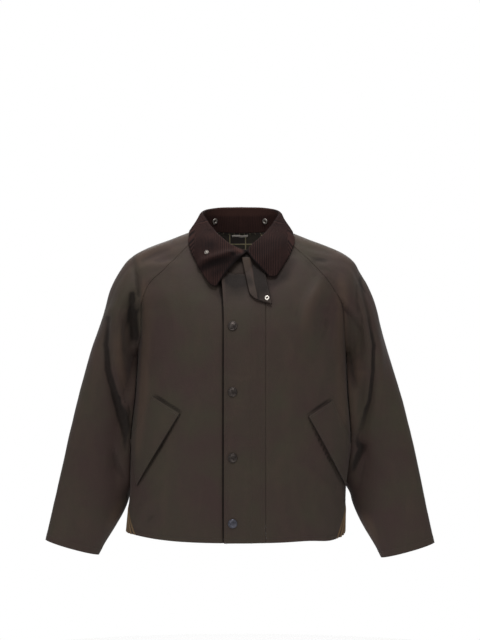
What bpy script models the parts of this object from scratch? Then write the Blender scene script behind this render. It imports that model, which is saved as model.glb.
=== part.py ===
"""Waxed cotton jacket in its worn form: hollow, buttoned up, sleeves hanging.

Sizes are millimetres until a mesh is made. +X is the wearer's left, -Y the front, +Z up. The origin is the
middle of the neck hole, level with the lowest point of the shoulder line beside the collar. Angles run round the
body from the front centre: 0 is the front, 90 degrees the side, 180 degrees the back, and negative angles are
the right side.
"""

import math
from collections import namedtuple

import bpy
import numpy as np
from mathutils import Vector

MM = 0.001

# Cloth and seams
CLOTH = 1.6
FLAP_CLOTH = 2.4
STAND_CLOTH = 2.2
FALL_CLOTH = 2.6
LINING_CLOTH = 1.0
TAPE = 0.9
SEAM_GAP = 0.3
RIM_LEAN = np.array([0.11, 0.37, 1.0])

# Body heights and the squareness of its sections
ARMPIT = -248.0
CHEST_RIGHT = 214.0
CHEST_LEFT = 222.0
NECK_RIDGE = 16.0
SQUARENESS = 2.4
HEM_FRONT = -624.0
HEM_SIDE = -617.0
HEM_BACK = -620.0
NECK_FRONT = -80.0
NECK_BACK = 14.0
NECK_DIP = 24.0
NECK_HALF = 90.0

# Grid densities
RAGLAN_ROWS = 11
BODY_ROWS = 9
GUSSET_ROWS = 4
FRONT_COLUMNS = 9
BACK_COLUMNS = 18
NECK_COLUMNS = 3
SLEEVE_RINGS = 18
SEAM_SAMPLES = 240
SHARP_ANGLE = math.radians(50.0)

# Front closing
ZIP_EDGE = 10.0
FLAP_SEAM = 52.0
FLAP_FREE = 32.0
FLAP_FLARE = 7.0
FLARE_START = -190.0
FLAP_LINES = (24.0, 38.0)
FLAP_LEVELS = (3.6, 3.1, 2.8, 2.8, 2.8, 1.8, 0.7, 0.0)
FLAP_SLIT = -135.0
FLAP_SLIT_LEVELS = (2.4, 1.0, 0.3, 0.0, 0.0, 0.0, 0.0, 0.0)
ZIP_COLUMN = 4

# Side gussets
GUSSET_TOP = -552.0
GUSSET_CLOSE = 3.5
GUSSET_ANGLE = math.radians(28.0)
GUSSET_TIP_ANGLE = math.radians(1.2)
GUSSET_PLEATS = 9
PLEAT_OUT = 1.1
PLEAT_IN = 0.4

# Small hardware
STUD_WIDTH = 18.0
STUD_HEIGHT = 3.4
STUD_X = -15.0
STUD_TOP = -186.0
STUD_PITCH = 132.5
STUDS = 4
STUD_STEPS = 14
STUD_GAP = 0.35
WALE_CLEAR = 1.3
HOOD_CLEAR = 0.8
COLLAR_STUD = (-68.0, -37.0)
COLLAR_STUD_WIDTH = 9.0
RING_WIDTH = 13.0
RING_HOLE = 4.0
RING_HEIGHT = 1.8
TAB_STUD = (54.5, -129.6)
TAB_STUD_WIDTH = 10.0
HOOD_STUD_X = 54.0
HOOD_STUD_HEIGHT = 37.0


class Table:
    """Rows of sizes under named columns, read smoothly between rows by the first column."""

    def __init__(self, columns, *rows):
        data = np.array(sorted(rows), float)
        self.keys = data[:, 0]
        self.columns = {}
        for number, name in enumerate(columns.split()[1:], start=1):
            self.columns[name] = (data[:, number], self.slopes(data[:, number]))

    def slopes(self, values):
        """Slopes that keep the curve between its rows."""
        step = np.diff(self.keys)
        rise = np.diff(values) / step
        slope = np.zeros(len(values))
        slope[0] = rise[0]
        slope[-1] = rise[-1]
        for k in range(1, len(values) - 1):
            if rise[k - 1] * rise[k] > 0:
                near = 2 * step[k] + step[k - 1]
                far = step[k] + 2 * step[k - 1]
                slope[k] = (near + far) / (near / rise[k - 1] + far / rise[k])
        return slope

    def at(self, key, column):
        """Value of a column at a key, held level past both ends."""
        values, slope = self.columns[column]
        k = int(np.clip(np.searchsorted(self.keys, key) - 1, 0, len(values) - 2))
        step = self.keys[k + 1] - self.keys[k]
        t = min(max((key - self.keys[k]) / step, 0.0), 1.0)
        start = values[k] * (1 + 2 * t) * (1 - t) ** 2 + step * slope[k] * t * (1 - t) ** 2
        end = values[k + 1] * t * t * (3 - 2 * t) + step * slope[k + 1] * t * t * (t - 1)
        return start + end


# Half widths and depths of the body and shoulders at each height
BODY = Table(
    "height right left front back",
    (NECK_RIDGE, NECK_HALF, NECK_HALF, 42, 76),
    (8, 110, 112, 47, 84),
    (-5, 142, 145, 53, 92),
    (-20, 178, 180, 62, 100),
    (-36, 210, 208, 70, 107),
    (-47, 228, 228, 76, 110),
    (-80, 252, 252, 92, 118),
    (-113, 252, 254, 106, 123),
    (-153, 228, 236, 119, 127),
    (-197, 217, 225, 127, 127),
    (ARMPIT, CHEST_RIGHT, CHEST_LEFT, 130, 124),
    (-330, 219, 226, 130, 118),
    (-420, 228, 232, 128, 113),
    (-530, 231, 222, 126, 112),
    (HEM_SIDE, 238, 220, 122, 112),
)

# Where the raglan seams run: distance from the middle at each height
RAGLAN = {
    "front": Table(
        "height right left",
        (-2, 88, 88),
        (-26, 113, 115),
        (-46, 133, 138),
        (-67, 153, 157),
        (-103, 188, 187),
        (-128, 199, 203),
        (-153, 204, 213),
        (-197, 207, 217),
        (ARMPIT, CHEST_RIGHT, CHEST_LEFT),
    ),
    "back": Table(
        "height right left",
        (NECK_RIDGE, 78, 78),
        (2, 104, 104),
        (-20, 131, 131),
        (-48, 157, 157),
        (-80, 180, 182),
        (-115, 196, 200),
        (-155, 205, 212),
        (-200, 210, 217),
        (ARMPIT, CHEST_RIGHT, CHEST_LEFT),
    ),
}

# Sleeve sections from the neck to the cuff: top of the arm, underarm out from the armpit, half depths, and how
# much of the raglan seam's own shape is left in the section
SLEEVE = Table(
    "part over_x over_y over_z under_out under_y under_z front back seam",
    (0.0, NECK_HALF, 0, NECK_RIDGE, 0, 0, ARMPIT, 78, 78, 1.0),
    (0.073, 142, 0, -4, 2, 3, -252, 77, 78, 0.82),
    (0.198, 230, 0, -44, 5, 8, -261, 75, 78, 0.50),
    (0.253, 256, 0, -79, 6.5, 11, -270, 74, 78, 0.36),
    (0.307, 274, 0, -117, 8, 15, -282, 72, 77, 0.25),
    (0.431, 300, -2, -208, 8.5, 26, -320, 68, 72, 0.08),
    (0.568, 329, -4, -309, 7.5, 38, -385, 58, 58, 0.0),
    (0.704, 355, -6, -410, 7, 42, -455, 46, 46, 0.0),
    (0.837, 379, -6, -510, 17, 36, -545, 33, 34, 0.0),
    (1.0, 407, -4, -634, 79, 8, -667, 29, 31, 0.0),
)

LEFT_CUFF_DROP = 6.0

# Largest folds, seen from the front or the back: from one place to another, across and up; depth is outward
Fold = namedtuple("Fold", "x_from z_from x_to z_to depth width")
FRONT_FOLDS = (
    Fold(-214, -70, -221, -235, -7.0, 19),
    Fold(247, -90, 238, -238, -8.0, 21),
    Fold(-186, -95, -178, -225, 3.0, 20),
    Fold(166, -88, 122, -200, 4.0, 20),
    Fold(192, -120, 160, -255, -3.5, 18),
    Fold(-258, -180, -236, -425, -3.5, 17),
    Fold(-322, -250, -352, -520, 3.0, 22),
    Fold(280, -215, 266, -400, -4.0, 18),
    Fold(250, -430, 268, -545, -3.0, 18),
    Fold(330, -240, 366, -510, 3.0, 22),
)
BACK_FOLDS = (
    Fold(-212, -85, -218, -230, -6.0, 20),
    Fold(226, -85, 226, -230, -6.0, 20),
    Fold(-150, -70, -165, -300, 4.0, 26),
    Fold(158, -75, 150, -330, 4.0, 26),
    Fold(-80, -180, -60, -560, 3.0, 30),
    Fold(70, -260, 96, -600, 3.5, 30),
    Fold(-150, -380, -160, -610, -3.0, 26),
    Fold(-300, -190, -338, -440, 3.5, 24),
    Fold(304, -200, 344, -470, 3.5, 24),
)
FOLD_FADE = 40.0

# The hem of the left front hangs a little lower beside its gusset
SAG_X = 190.0
SAG_WIDTH = 36.0
SAG_DEPTH = 8.0
SAG_HEIGHT = 24.0

# Collar: the roll line round the neck, and the fall's outer edge as an angle and a height on the body's skin
COLLAR_CENTRE = np.array([2.0, -5.0, 0.0])
COLLAR = Table(
    "azimuth roll_radius roll_height right_angle right_height left_angle left_height lift bulge",
    (0, 75, -34, 7.6, -109, 9.8, -89, 8, 5),
    (6, 74.4, -33, 8.3, -108.5, 10.8, -88.8, 8, 5),
    (12, 73, -27, 9.6, -107, 12.6, -88, 8, 6),
    (34, 68.5, -8, 12.6, -91, 15.0, -76, 8, 8),
    (55, 67.5, 9, 16.9, -62, 19.5, -55, 7, 9),
    (78, 71, 28, 27, -29, 30, -27, 6, 4),
    (99, 82, 48, 90, 7, 90, 7, 4, 0),
    (122, 81, 58, 128, 1, 128, 1, 5, 3),
    (147, 77, 62, 153, -4, 153, -4, 5, 5),
    (180, 71, 63, 180, -7, 180, -7, 5, 5),
)
LEAF_START = 0.6
FALL_SHARES = (0.36, 0.7, 1.0)
WALES = 96
WALE_OUT = 0.45
WALE_IN = 0.35
CROWN_RISE = 4.4
CROWN_OUT = 1.3
CROWN_INSET = 0.1
FOLD_WIDTH = 5.6
FOLD_RISE = 1.0
FOLD_INSET = 0.2
STAND_SHARES = (0.0, 0.35, 0.7, 1.0)
UP = np.array([0.0, 0.0, 1.0])

# Pocket flaps: distance from the middle and height at the corners, in the order upper inner, upper outer, lower
# inner, lower outer
POCKET = Table(
    "corner right_x right_height left_x left_height",
    (0, 120, -363, 137, -369),
    (1, 176, -329, 187, -337),
    (2, 211, -516, 217, -519),
    (3, 226, -425, 229, -432),
)
POCKET_ROWS = 12
POCKET_COLUMNS = 5
POCKET_LEVEL = 1.3
POCKET_LIFT = 2.6

# Throat tab: across and height at its corners, and the level of its strip at shares across it
TAB_TOP_NEAR = (4.0, -52.0)
TAB_TOP_FAR = (46.0, -50.0)
TAB_LOW_NEAR = (20.0, -130.0)
TAB_LOW_FAR = (65.0, -142.0)
TAB_STRIP = ((0.0, 1.2), (0.26, 1.2), (0.3, 0.0), (0.65, 0.0), (1.0, 0.0))
TAB_ROWS = 6
TAB_LEVEL = 3.2
TAB_LIFT = 1.0

# Lining and hanger tape of the back neck
LINING_ROWS = 5
LINING_INSET = 3
LINING_DROP = 0.12
TAPE_SHARES = (0.45, 0.8)


def unit(vectors):
    """Vectors scaled to length 1."""
    length = np.linalg.norm(vectors, axis=-1, keepdims=True)
    return vectors / np.maximum(length, 1e-9)


def skin(angle, height):
    """Point of the body's outer skin."""
    turn = math.sin(angle)
    wide = BODY.at(height, "left" if turn >= 0 else "right")
    deep = BODY.at(height, "front" if math.cos(angle) > 0 else "back")
    across = math.copysign(wide * abs(turn) ** (2 / SQUARENESS), turn)
    return np.array([across, -deep * math.cos(angle), height])


def angle_at(x, height, back=False):
    """Angle at which the skin is x from the middle."""
    wide = BODY.at(height, "left" if x >= 0 else "right")
    angle = math.asin(min(abs(x) / wide, 1.0) ** (SQUARENESS / 2))
    return math.copysign(math.pi - angle if back else angle, x)


def skin_normal(angle, height):
    """Outward direction of the skin."""
    turn = 0.02
    rise = 1.0
    across = skin(angle + turn, height) - skin(angle - turn, height)
    up = skin(angle, height + rise) - skin(angle, height - rise)
    normal = unit(np.cross(across, up))
    return normal if normal @ (skin(angle, height) * (1, 1, 0)) > 0 else -normal


def folded(point):
    """A point of the shell moved forward or back by the folds it lies on, and down where the hem sags."""
    folds, forward = (FRONT_FOLDS, -1) if point[1] < 0 else (BACK_FOLDS, 1)
    place = point[[0, 2]]
    total = 0.0
    for fold in folds:
        start = np.array((fold.x_from, fold.z_from))
        run = np.array((fold.x_to, fold.z_to)) - start
        share = min(max((place - start) @ run / (run @ run), 0.0), 1.0)
        away = np.linalg.norm(place - start - run * share)
        total += fold.depth * math.exp(-((away / fold.width) ** 2))
    fade = min(abs(point[1]) / FOLD_FADE, 1.0)
    low = min(max((HEM_SIDE + SAG_HEIGHT - point[2]) / SAG_HEIGHT, 0.0), 1.0)
    near = math.exp(-(((point[0] - SAG_X) / SAG_WIDTH) ** 2)) if folds is FRONT_FOLDS else 0.0
    on_body = 1.0 if point[0] < CHEST_LEFT else 0.0
    return point + np.array((0.0, forward * total * fade, -SAG_DEPTH * low * near * fade * on_body))


def spaced(points, count):
    """A line of points walked in equal steps."""
    points = np.array(points)
    run = np.concatenate(([0.0], np.cumsum(np.linalg.norm(np.diff(points, axis=0), axis=1))))
    steps = np.linspace(0.0, run[-1], count + 1)
    return np.stack([np.interp(steps, run, points[:, k]) for k in range(3)], axis=1)


def raglan_seam(side, part):
    """Raglan seam from the armpit up to the neck."""
    table = RAGLAN[part]
    column = "left" if side > 0 else "right"
    line = []
    for height in np.linspace(ARMPIT, table.keys[-1], SEAM_SAMPLES):
        x = side * table.at(height, column)
        line.append(skin(angle_at(x, height, part == "back"), height))
    return spaced(line, RAGLAN_ROWS)


def side_heights():
    """Heights of the rows from the hem to just below the armpit."""
    low = np.linspace(HEM_SIDE, GUSSET_TOP, GUSSET_ROWS + 1)
    high = np.linspace(GUSSET_TOP + GUSSET_CLOSE, ARMPIT, BODY_ROWS + 1)
    return np.concatenate((low, high[:-1]))


def gusset_turn(height):
    """Half angle that the side gusset takes at a height."""
    if height > GUSSET_TOP + 0.01:
        return 0.0
    share = (GUSSET_TOP - height) / (GUSSET_TOP - HEM_SIDE)
    return GUSSET_TIP_ANGLE + (GUSSET_ANGLE - GUSSET_TIP_ANGLE) * share


def panel_edge(side, part):
    """Outer edge of a front or back panel: up the side, then along the raglan seam."""
    line = []
    for height in side_heights():
        turn = gusset_turn(height)
        angle = math.pi / 2 + (turn if part == "back" else -turn)
        line.append(skin(side * angle, height))
    return np.concatenate((line, raglan_seam(side, part)))


class Row:
    """One row across a panel: its height in the middle, its two ends and its dip."""

    def __init__(self, centre, ends, dip, back, bend):
        self.centre = centre
        self.bend = bend
        self.ends = ends
        self.dip = dip
        self.back = back

    def point(self, x):
        """Point of the row at a distance x from the middle."""
        end = self.ends[1 if x >= 0 else -1]
        share = min(abs(x / end[0]), 1.0)
        height = self.centre + (end[2] - self.centre) * share**self.bend - 4 * self.dip * share * (1 - share)
        return skin(angle_at(x, height, self.back), height)

    def toward(self, side, start, count):
        """Points from just past x = start to the end on a side, closer together where the body turns away."""
        end = self.ends[side]
        reach = abs(end[0])
        last = abs(math.sin(angle_at(end[0], end[2])))
        first = math.asin((abs(start) / reach) ** (SQUARENESS / 2) * last)
        line = []
        for share in np.linspace(0.0, 1.0, count + 1)[1:-1]:
            turn = first + (math.asin(last) - first) * share
            line.append(self.point(side * reach * (math.sin(turn) / last) ** (2 / SQUARENESS)))
        return line + [end]


def panel_rows(part):
    """Rows of the front or the back, from the hem up to the neck."""
    back = part == "back"
    ends = {side: panel_edge(side, part) for side in (-1, 1)}
    lower = side_heights()
    hem, neck, dip = (HEM_BACK, NECK_BACK, 0.0) if back else (HEM_FRONT, NECK_FRONT, NECK_DIP)
    rows = []
    for number in range(len(ends[1])):
        if number < len(lower):
            share = 0.0
            bend = 3
            drop = max((GUSSET_TOP - lower[number]) / (GUSSET_TOP - HEM_SIDE), 0.0)
            centre = lower[number] + (hem - HEM_SIDE) * drop
        else:
            share = (number - len(lower)) / RAGLAN_ROWS
            bend = 1
            centre = ARMPIT + (neck - ARMPIT) * share
        rows.append(Row(centre, {side: ends[side][number] for side in (-1, 1)}, dip * share, back, bend))
    return rows


def free_edge(height):
    """Place across of the storm flap's free edge."""
    return -FLAP_FREE - FLAP_FLARE * max(0.0, (height - FLARE_START) / (NECK_FRONT - FLARE_START)) ** 2


def placket_line(row):
    """Points of a front row across the storm flap."""
    edge = free_edge(row.centre)
    return [row.point(x) for x in (edge, edge * 2 / 3, edge / 3, 0.0, ZIP_EDGE, *FLAP_LINES, FLAP_SEAM)]


def back_line(row):
    """Points of a back row from the right edge to the left."""
    half = BACK_COLUMNS // 2
    return row.toward(-1, 0.0, half)[::-1] + [row.point(0.0)] + row.toward(1, 0.0, half)


def neck_edge(side, part):
    """Top edge of a sleeve half, from the shoulder ridge to the raglan seam's end."""
    line = []
    for step in range(NECK_COLUMNS + 1):
        share = step / NECK_COLUMNS
        if part == "front":
            low = RAGLAN["front"].keys[-1]
            height = NECK_RIDGE + (low - NECK_RIDGE) * share**2
            x = NECK_HALF + (RAGLAN["front"].at(low, "left") - NECK_HALF) * share
            angle = abs(angle_at(x, height))
        else:
            height = NECK_RIDGE
            end = abs(angle_at(RAGLAN["back"].at(height, "left"), height, True))
            angle = math.pi / 2 + (end - math.pi / 2) * share
        line.append(skin(side * angle, height))
    return np.array(line)


def sleeve_ring(station, side):
    """Top, underarm and depths of a sleeve section."""
    read = {name: SLEEVE.at(station, name) for name in SLEEVE.columns}
    armpit = CHEST_LEFT if side > 0 else CHEST_RIGHT
    middle = (CHEST_LEFT + CHEST_RIGHT) / 2
    under_x = armpit + (middle - armpit) * station + read["under_out"]
    drop = LEFT_CUFF_DROP * station**2 if side > 0 else 0.0
    over = np.array([side * read["over_x"], read["over_y"], read["over_z"] - drop])
    under = np.array([side * under_x, read["under_y"], read["under_z"] - drop])
    return over, under, read


def sleeve_points(side, part):
    """Grid of a sleeve half: rings from the raglan seam to the cuff, lines from the top to the underarm."""
    seam = raglan_seam(side, part)[::-1]
    start = np.concatenate((neck_edge(side, part)[:-1], seam))
    sign = -1 if part == "front" else 1
    over, under, read = sleeve_ring(0.0, side)
    chord = (under - over) * (1, 0, 1)
    share = np.clip((start - over) @ chord / (chord @ chord), 0.0, 1.0)
    share[0] = 0.0
    share[-1] = 1.0
    seam_turn = np.arccos(1 - 2 * share)
    even_turn = np.linspace(0.0, math.pi, len(start))
    rings = []
    for station in np.linspace(0.0, 1.0, SLEEVE_RINGS + 1):
        over, under, read = sleeve_ring(station, side)
        turn = even_turn + (seam_turn - even_turn) * read["seam"]
        ring = (over + under) / 2 + np.outer(np.cos(turn), (over - under) / 2)
        ring[:, 1] += sign * read[part] * np.sin(turn)
        if station == 0.0:
            own_shape = start - ring
        rings.append(ring + own_shape * read["seam"])
    return np.array(rings)


def grid_normals(points, outward):
    """Outward directions at the points of a grid; outward is a rough direction at its middle."""
    down = np.gradient(points, axis=0)
    across = np.gradient(points, axis=1)
    normals = unit(np.cross(across, down))
    middle = normals[points.shape[0] // 2, points.shape[1] // 2]
    return normals if middle @ np.array(outward) > 0 else -normals


class Panel:
    """A piece of cloth as a grid of points on its outer side, with the edges that are seams."""

    def __init__(self, points, outward, seams=("top", "bottom", "start", "end")):
        flat = np.array(points, float)
        self.points = np.apply_along_axis(folded, 2, flat)
        self.normals = grid_normals(self.points, outward)
        self.seams = seams

    def edges(self):
        """Each seam as the row and column numbers of its points."""
        rows, columns = self.points.shape[:2]
        every = {
            "top": [(0, c) for c in range(columns)],
            "bottom": [(rows - 1, c) for c in range(columns)],
            "start": [(r, 0) for r in range(rows)],
            "end": [(r, columns - 1) for r in range(rows)],
        }
        return [every[name] for name in self.seams]

    def set_back(self):
        """Points moved in from the seams by half the seam gap."""
        pulls = {}
        rows, columns = self.points.shape[:2]
        for edge in self.edges():
            line = np.array([self.points[place] for place in edge])
            along = unit(np.gradient(line, axis=0))
            for place, direction in zip(edge, along):
                r, c = place
                inner = self.points[min(max(r, 1), rows - 2), min(max(c, 1), columns - 2)]
                pull = unit(np.cross(self.normals[place], direction))
                if pull @ (inner - self.points[place]) < 0:
                    pull = -pull
                pulls.setdefault(place, []).append(pull)
        moved = self.points.copy()
        for place, found in pulls.items():
            total = sum(found)
            spread = max(1 + found[0] @ found[-1], 0.5) if len(found) > 1 else 1.0
            moved[place] += total / spread * SEAM_GAP / 2
        return moved


def share_normals(panels):
    """Gives the points that panels share one common outward direction."""
    total = {}
    for panel in panels:
        for place in np.ndindex(panel.points.shape[:2]):
            key = tuple(np.round(panel.points[place], 3))
            total[key] = total.get(key, 0) + panel.normals[place]
    for panel in panels:
        for place in np.ndindex(panel.points.shape[:2]):
            panel.normals[place] = unit(total[tuple(np.round(panel.points[place], 3))])


def finish(name, colour, roughness, metallic=0.0):
    """A plain material."""
    material = bpy.data.materials.new(name)
    material.use_nodes = True
    shader = material.node_tree.nodes["Principled BSDF"]
    shader.inputs["Base Color"].default_value = (*colour, 1.0)
    shader.inputs["Roughness"].default_value = roughness
    shader.inputs["Metallic"].default_value = metallic
    material.diffuse_color = (*colour, 1.0)
    return material


def add_object(name, vertices, faces, material):
    """A mesh object under the jacket's empty, from vertices in metres."""
    mesh = bpy.data.meshes.new(name)
    mesh.from_pydata([tuple(vertex) for vertex in vertices], [], faces)
    mesh.materials.append(material)
    mesh.shade_smooth()
    mesh.set_sharp_from_angle(angle=SHARP_ANGLE)
    thing = bpy.data.objects.new(name, mesh)
    thing.parent = bpy.data.objects["jacket"]
    bpy.context.scene.collection.objects.link(thing)
    return thing


def rim(points, outer, inner):
    """Triangles between an outer line of points and an inner one with the same or half the steps."""
    faces = []
    ratio = (len(outer) - 1) // (len(inner) - 1)
    for k in range(len(inner) - 1):
        part = outer[ratio * k : ratio * (k + 1) + 1]
        near, far = inner[k], inner[k + 1]
        if ratio == 2:
            faces += [(part[0], part[1], near), (part[1], far, near), (part[1], part[2], far)]
        elif points[part[0]] @ RIM_LEAN > points[part[1]] @ RIM_LEAN:
            faces += [(part[0], part[1], far), (part[0], far, near)]
        else:
            faces += [(part[0], part[1], near), (part[1], far, near)]
    return faces


def wall_mesh(outer, inner):
    """Closed mesh between an outer and an inner grid with the same rows."""
    rows, columns = outer.shape[:2]
    inner_columns = inner.shape[1]
    points = np.concatenate((outer.reshape(-1, 3), inner.reshape(-1, 3)))
    out = np.arange(rows * columns).reshape(rows, columns)
    back = np.arange(rows * inner_columns).reshape(rows, inner_columns) + rows * columns
    faces = []
    for grid, flip in ((out, 1), (back, -1)):
        for r in range(rows - 1):
            for c in range(grid.shape[1] - 1):
                a, b, d, e = grid[r, c], grid[r, c + 1], grid[r + 1, c + 1], grid[r + 1, c]
                faces += [(a, b, d)[::flip], (a, d, e)[::flip]]
    faces += rim(points, out[0][::-1], back[0][::-1])
    faces += rim(points, out[-1], back[-1])
    faces += rim(points, out[:, 0], back[:, 0])
    faces += rim(points, out[:, -1][::-1], back[:, -1][::-1])
    corners = points[np.array(faces)]
    volume = np.einsum("ij,ij->", corners[:, 0], np.cross(corners[:, 1], corners[:, 2]))
    if volume < 0:
        faces = [face[::-1] for face in faces]
    return points, [tuple(int(k) for k in face) for face in faces]


def add_wall(name, outer, inner, material):
    """A cloth piece from its outer and inner grids in millimetres."""
    points, faces = wall_mesh(outer, inner)
    return add_object(name, points * MM, faces, material)


def add_panel(name, panel, thickness, material):
    """A cloth piece of even thickness whose outer side is its panel."""
    outer = panel.set_back()
    return add_wall(name, outer, outer - panel.normals * thickness, material)


def add_turned(name, profile, place, direction, material):
    """A round piece turned from a profile of (radius, height), standing on a place along a direction."""
    vertices = []
    rings = []
    for radius, height in profile:
        count = 1 if radius == 0 else STUD_STEPS
        rings.append(range(len(vertices), len(vertices) + count))
        for k in range(count):
            turn = 2 * math.pi * k / STUD_STEPS
            vertices.append((radius * math.cos(turn) * MM, radius * math.sin(turn) * MM, height * MM))
    closed = profile[0][0] > 0
    faces = []
    for low, high in zip(rings, rings[1:] + rings[:1] if closed else rings[1:]):
        for k in range(STUD_STEPS):
            a, b = low[k % len(low)], low[(k + 1) % len(low)]
            d, e = high[(k + 1) % len(high)], high[k % len(high)]
            if a != b:
                faces.append((a, b, d))
            if d != e:
                faces.append((a, d, e))
    thing = add_object(name, vertices, faces, material)
    thing.rotation_mode = "QUATERNION"
    thing.rotation_quaternion = Vector(direction).to_track_quat("Z", "Y")
    thing.location = Vector(place) * MM
    return thing


def build_shell(wax, collar_cloth):
    """The body, sleeves, gussets and collar stand, which share seams."""
    front_rows = panel_rows("front")
    back_rows = panel_rows("back")
    right = []
    left = []
    flap = []
    for row in front_rows:
        middle = placket_line(row)
        right.append(row.toward(-1, middle[0][0], FRONT_COLUMNS)[::-1] + middle[:ZIP_COLUMN + 1])
        flap.append(middle)
        left.append(middle[-1:] + row.toward(1, FLAP_SEAM, FRONT_COLUMNS))
    shell = {
        "front_right": Panel(right, (0, -1, 0), ("bottom", "start", "end")),
        "front_left": Panel(left, (0, -1, 0), ("bottom", "start", "end")),
        "storm_flap": Panel(flap, (0, -1, 0), ("bottom", "end")),
        "back_panel": Panel([back_line(row) for row in back_rows], (0, 1, 0), ("bottom", "start", "end")),
    }
    for side, name in ((-1, "right"), (1, "left")):
        for part, outward in (("front", -1), ("back", 1)):
            grid = sleeve_points(side, part)
            shell[f"sleeve_{name}_{part}"] = Panel(grid, (0, outward, 0), ("top", "start", "end"))
        shell[f"side_gusset_{name}"] = gusset_panel(side)
    neck = neck_ring(shell)
    shell["collar_stand"] = Panel(stand_points(neck), (0, 1, 0))
    share_normals(list(shell.values()))
    for name in shell:
        if name.startswith(("front", "back", "sleeve")):
            add_panel(name, shell[name], CLOTH, wax)
    add_panel("collar_stand", shell["collar_stand"], STAND_CLOTH, collar_cloth)
    for name in ("right", "left"):
        add_gusset(f"side_gusset_{name}", shell[f"side_gusset_{name}"], wax)
    return shell


def gusset_panel(side):
    """Grid of a side gusset, from its tip down to the hem and from the front round to the back."""
    rows = []
    for height in np.linspace(GUSSET_TOP, HEM_SIDE, GUSSET_ROWS + 1):
        turn = gusset_turn(height)
        steps = np.linspace(-turn, turn, 2 * GUSSET_PLEATS + 1)
        rows.append([skin(side * (math.pi / 2 + step), height) for step in steps])
    return Panel(rows, (side, 0, 0), ("top", "start", "end"))


def add_gusset(name, panel, material):
    """A gusset with its pleats raised outside over a plain inside."""
    rows, columns = panel.points.shape[:2]
    level = np.zeros((rows, columns, 1))
    for c in range(1, columns - 1):
        level[1:, c] = PLEAT_OUT if c % 2 else -PLEAT_IN
    flat = panel.set_back()
    inner = flat - panel.normals * (CLOTH + PLEAT_IN)
    add_wall(name, flat + panel.normals * level, inner, material)


def neck_ring(shell):
    """Points of the neck seam from the zip edge round the right, the back and the left, back to the zip edge."""
    right = shell["front_right"].points[-1][::-1]
    left = np.concatenate((shell["storm_flap"].points[-1][ZIP_COLUMN:-1], shell["front_left"].points[-1]))
    sleeve_columns = slice(0, NECK_COLUMNS + 1)
    tops = {name: shell[f"sleeve_{name}"].points[0][sleeve_columns] for name in
            ("right_front", "right_back", "left_front", "left_back")}
    back = shell["back_panel"].points[-1]
    return np.concatenate((
        right[:-1],
        tops["right_front"][::-1][:-1],
        tops["right_back"][:-1],
        back[:-1],
        tops["left_back"][::-1][:-1],
        tops["left_front"][:-1],
        left[::-1],
    ))


def azimuth_of(point):
    """Angle of a point round the neck's axis in degrees, 0 at the front, positive on the left."""
    away = point - COLLAR_CENTRE
    return math.degrees(math.atan2(away[0], -away[1]))


def around(azimuth, radius, height):
    """Point at an angle round the neck's axis."""
    turn = math.radians(azimuth)
    return COLLAR_CENTRE + np.array([radius * math.sin(turn), -radius * math.cos(turn), height])


def roll_point(azimuth):
    """Point of the collar's roll line, on the stand's outer side."""
    key = abs(azimuth)
    return around(azimuth, COLLAR.at(key, "roll_radius"), COLLAR.at(key, "roll_height"))


def stand_points(neck):
    """Grid of the collar stand from the neck seam up to the roll line."""
    count = len(neck)
    azimuths = [azimuth_of(point) for point in neck]
    azimuths[0] = azimuths[-1]
    turned = np.unwrap(np.radians(azimuths))
    rows = []
    for share in STAND_SHARES:
        line = []
        for k in range(count):
            azimuth = math.degrees(turned[k])
            azimuth = (azimuth + 180) % 360 - 180
            line.append(neck[k] + (roll_point(azimuth) - neck[k]) * share)
        rows.append(line)
    return np.array(rows)


def fall_edge(azimuth):
    """Point of the fall's outer edge, standing off the shoulders or the front."""
    side, name = (1, "left") if azimuth > 0 else (-1, "right")
    angle = side * math.radians(COLLAR.at(abs(azimuth), f"{name}_angle"))
    height = COLLAR.at(abs(azimuth), f"{name}_height")
    return skin(angle, height) + skin_normal(angle, height) * COLLAR.at(abs(azimuth), "lift")


def rim_at(stand, azimuth):
    """Point of the stand's own top edge at an angle round the neck."""
    line = stand.points[-1]
    turned = -np.degrees(np.unwrap(np.radians([azimuth_of(point) for point in line])))
    key = -azimuth if -azimuth >= turned[0] else -azimuth + 360
    return np.array([np.interp(key, turned, line[:, k]) for k in range(3)])


def fall_line(azimuth, base):
    """Outer points of the fall at an angle round the neck, from the stand's top edge to the outer edge."""
    radial = unit(around(azimuth, 1.0, 0.0) - COLLAR_CENTRE)
    start = base + radial * FOLD_WIDTH + UP * FOLD_RISE
    line = [base - radial * STAND_CLOTH + UP * SEAM_GAP, base + radial * CROWN_OUT + UP * CROWN_RISE, start]
    chord = fall_edge(azimuth) - start
    outward = unit(radial * -chord[2] + UP * (chord @ radial))
    for share in FALL_SHARES:
        bulge = COLLAR.at(abs(azimuth), "bulge") * 4 * share * (1 - share)
        line.append(start + chord * share + outward * bulge)
    return line


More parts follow.
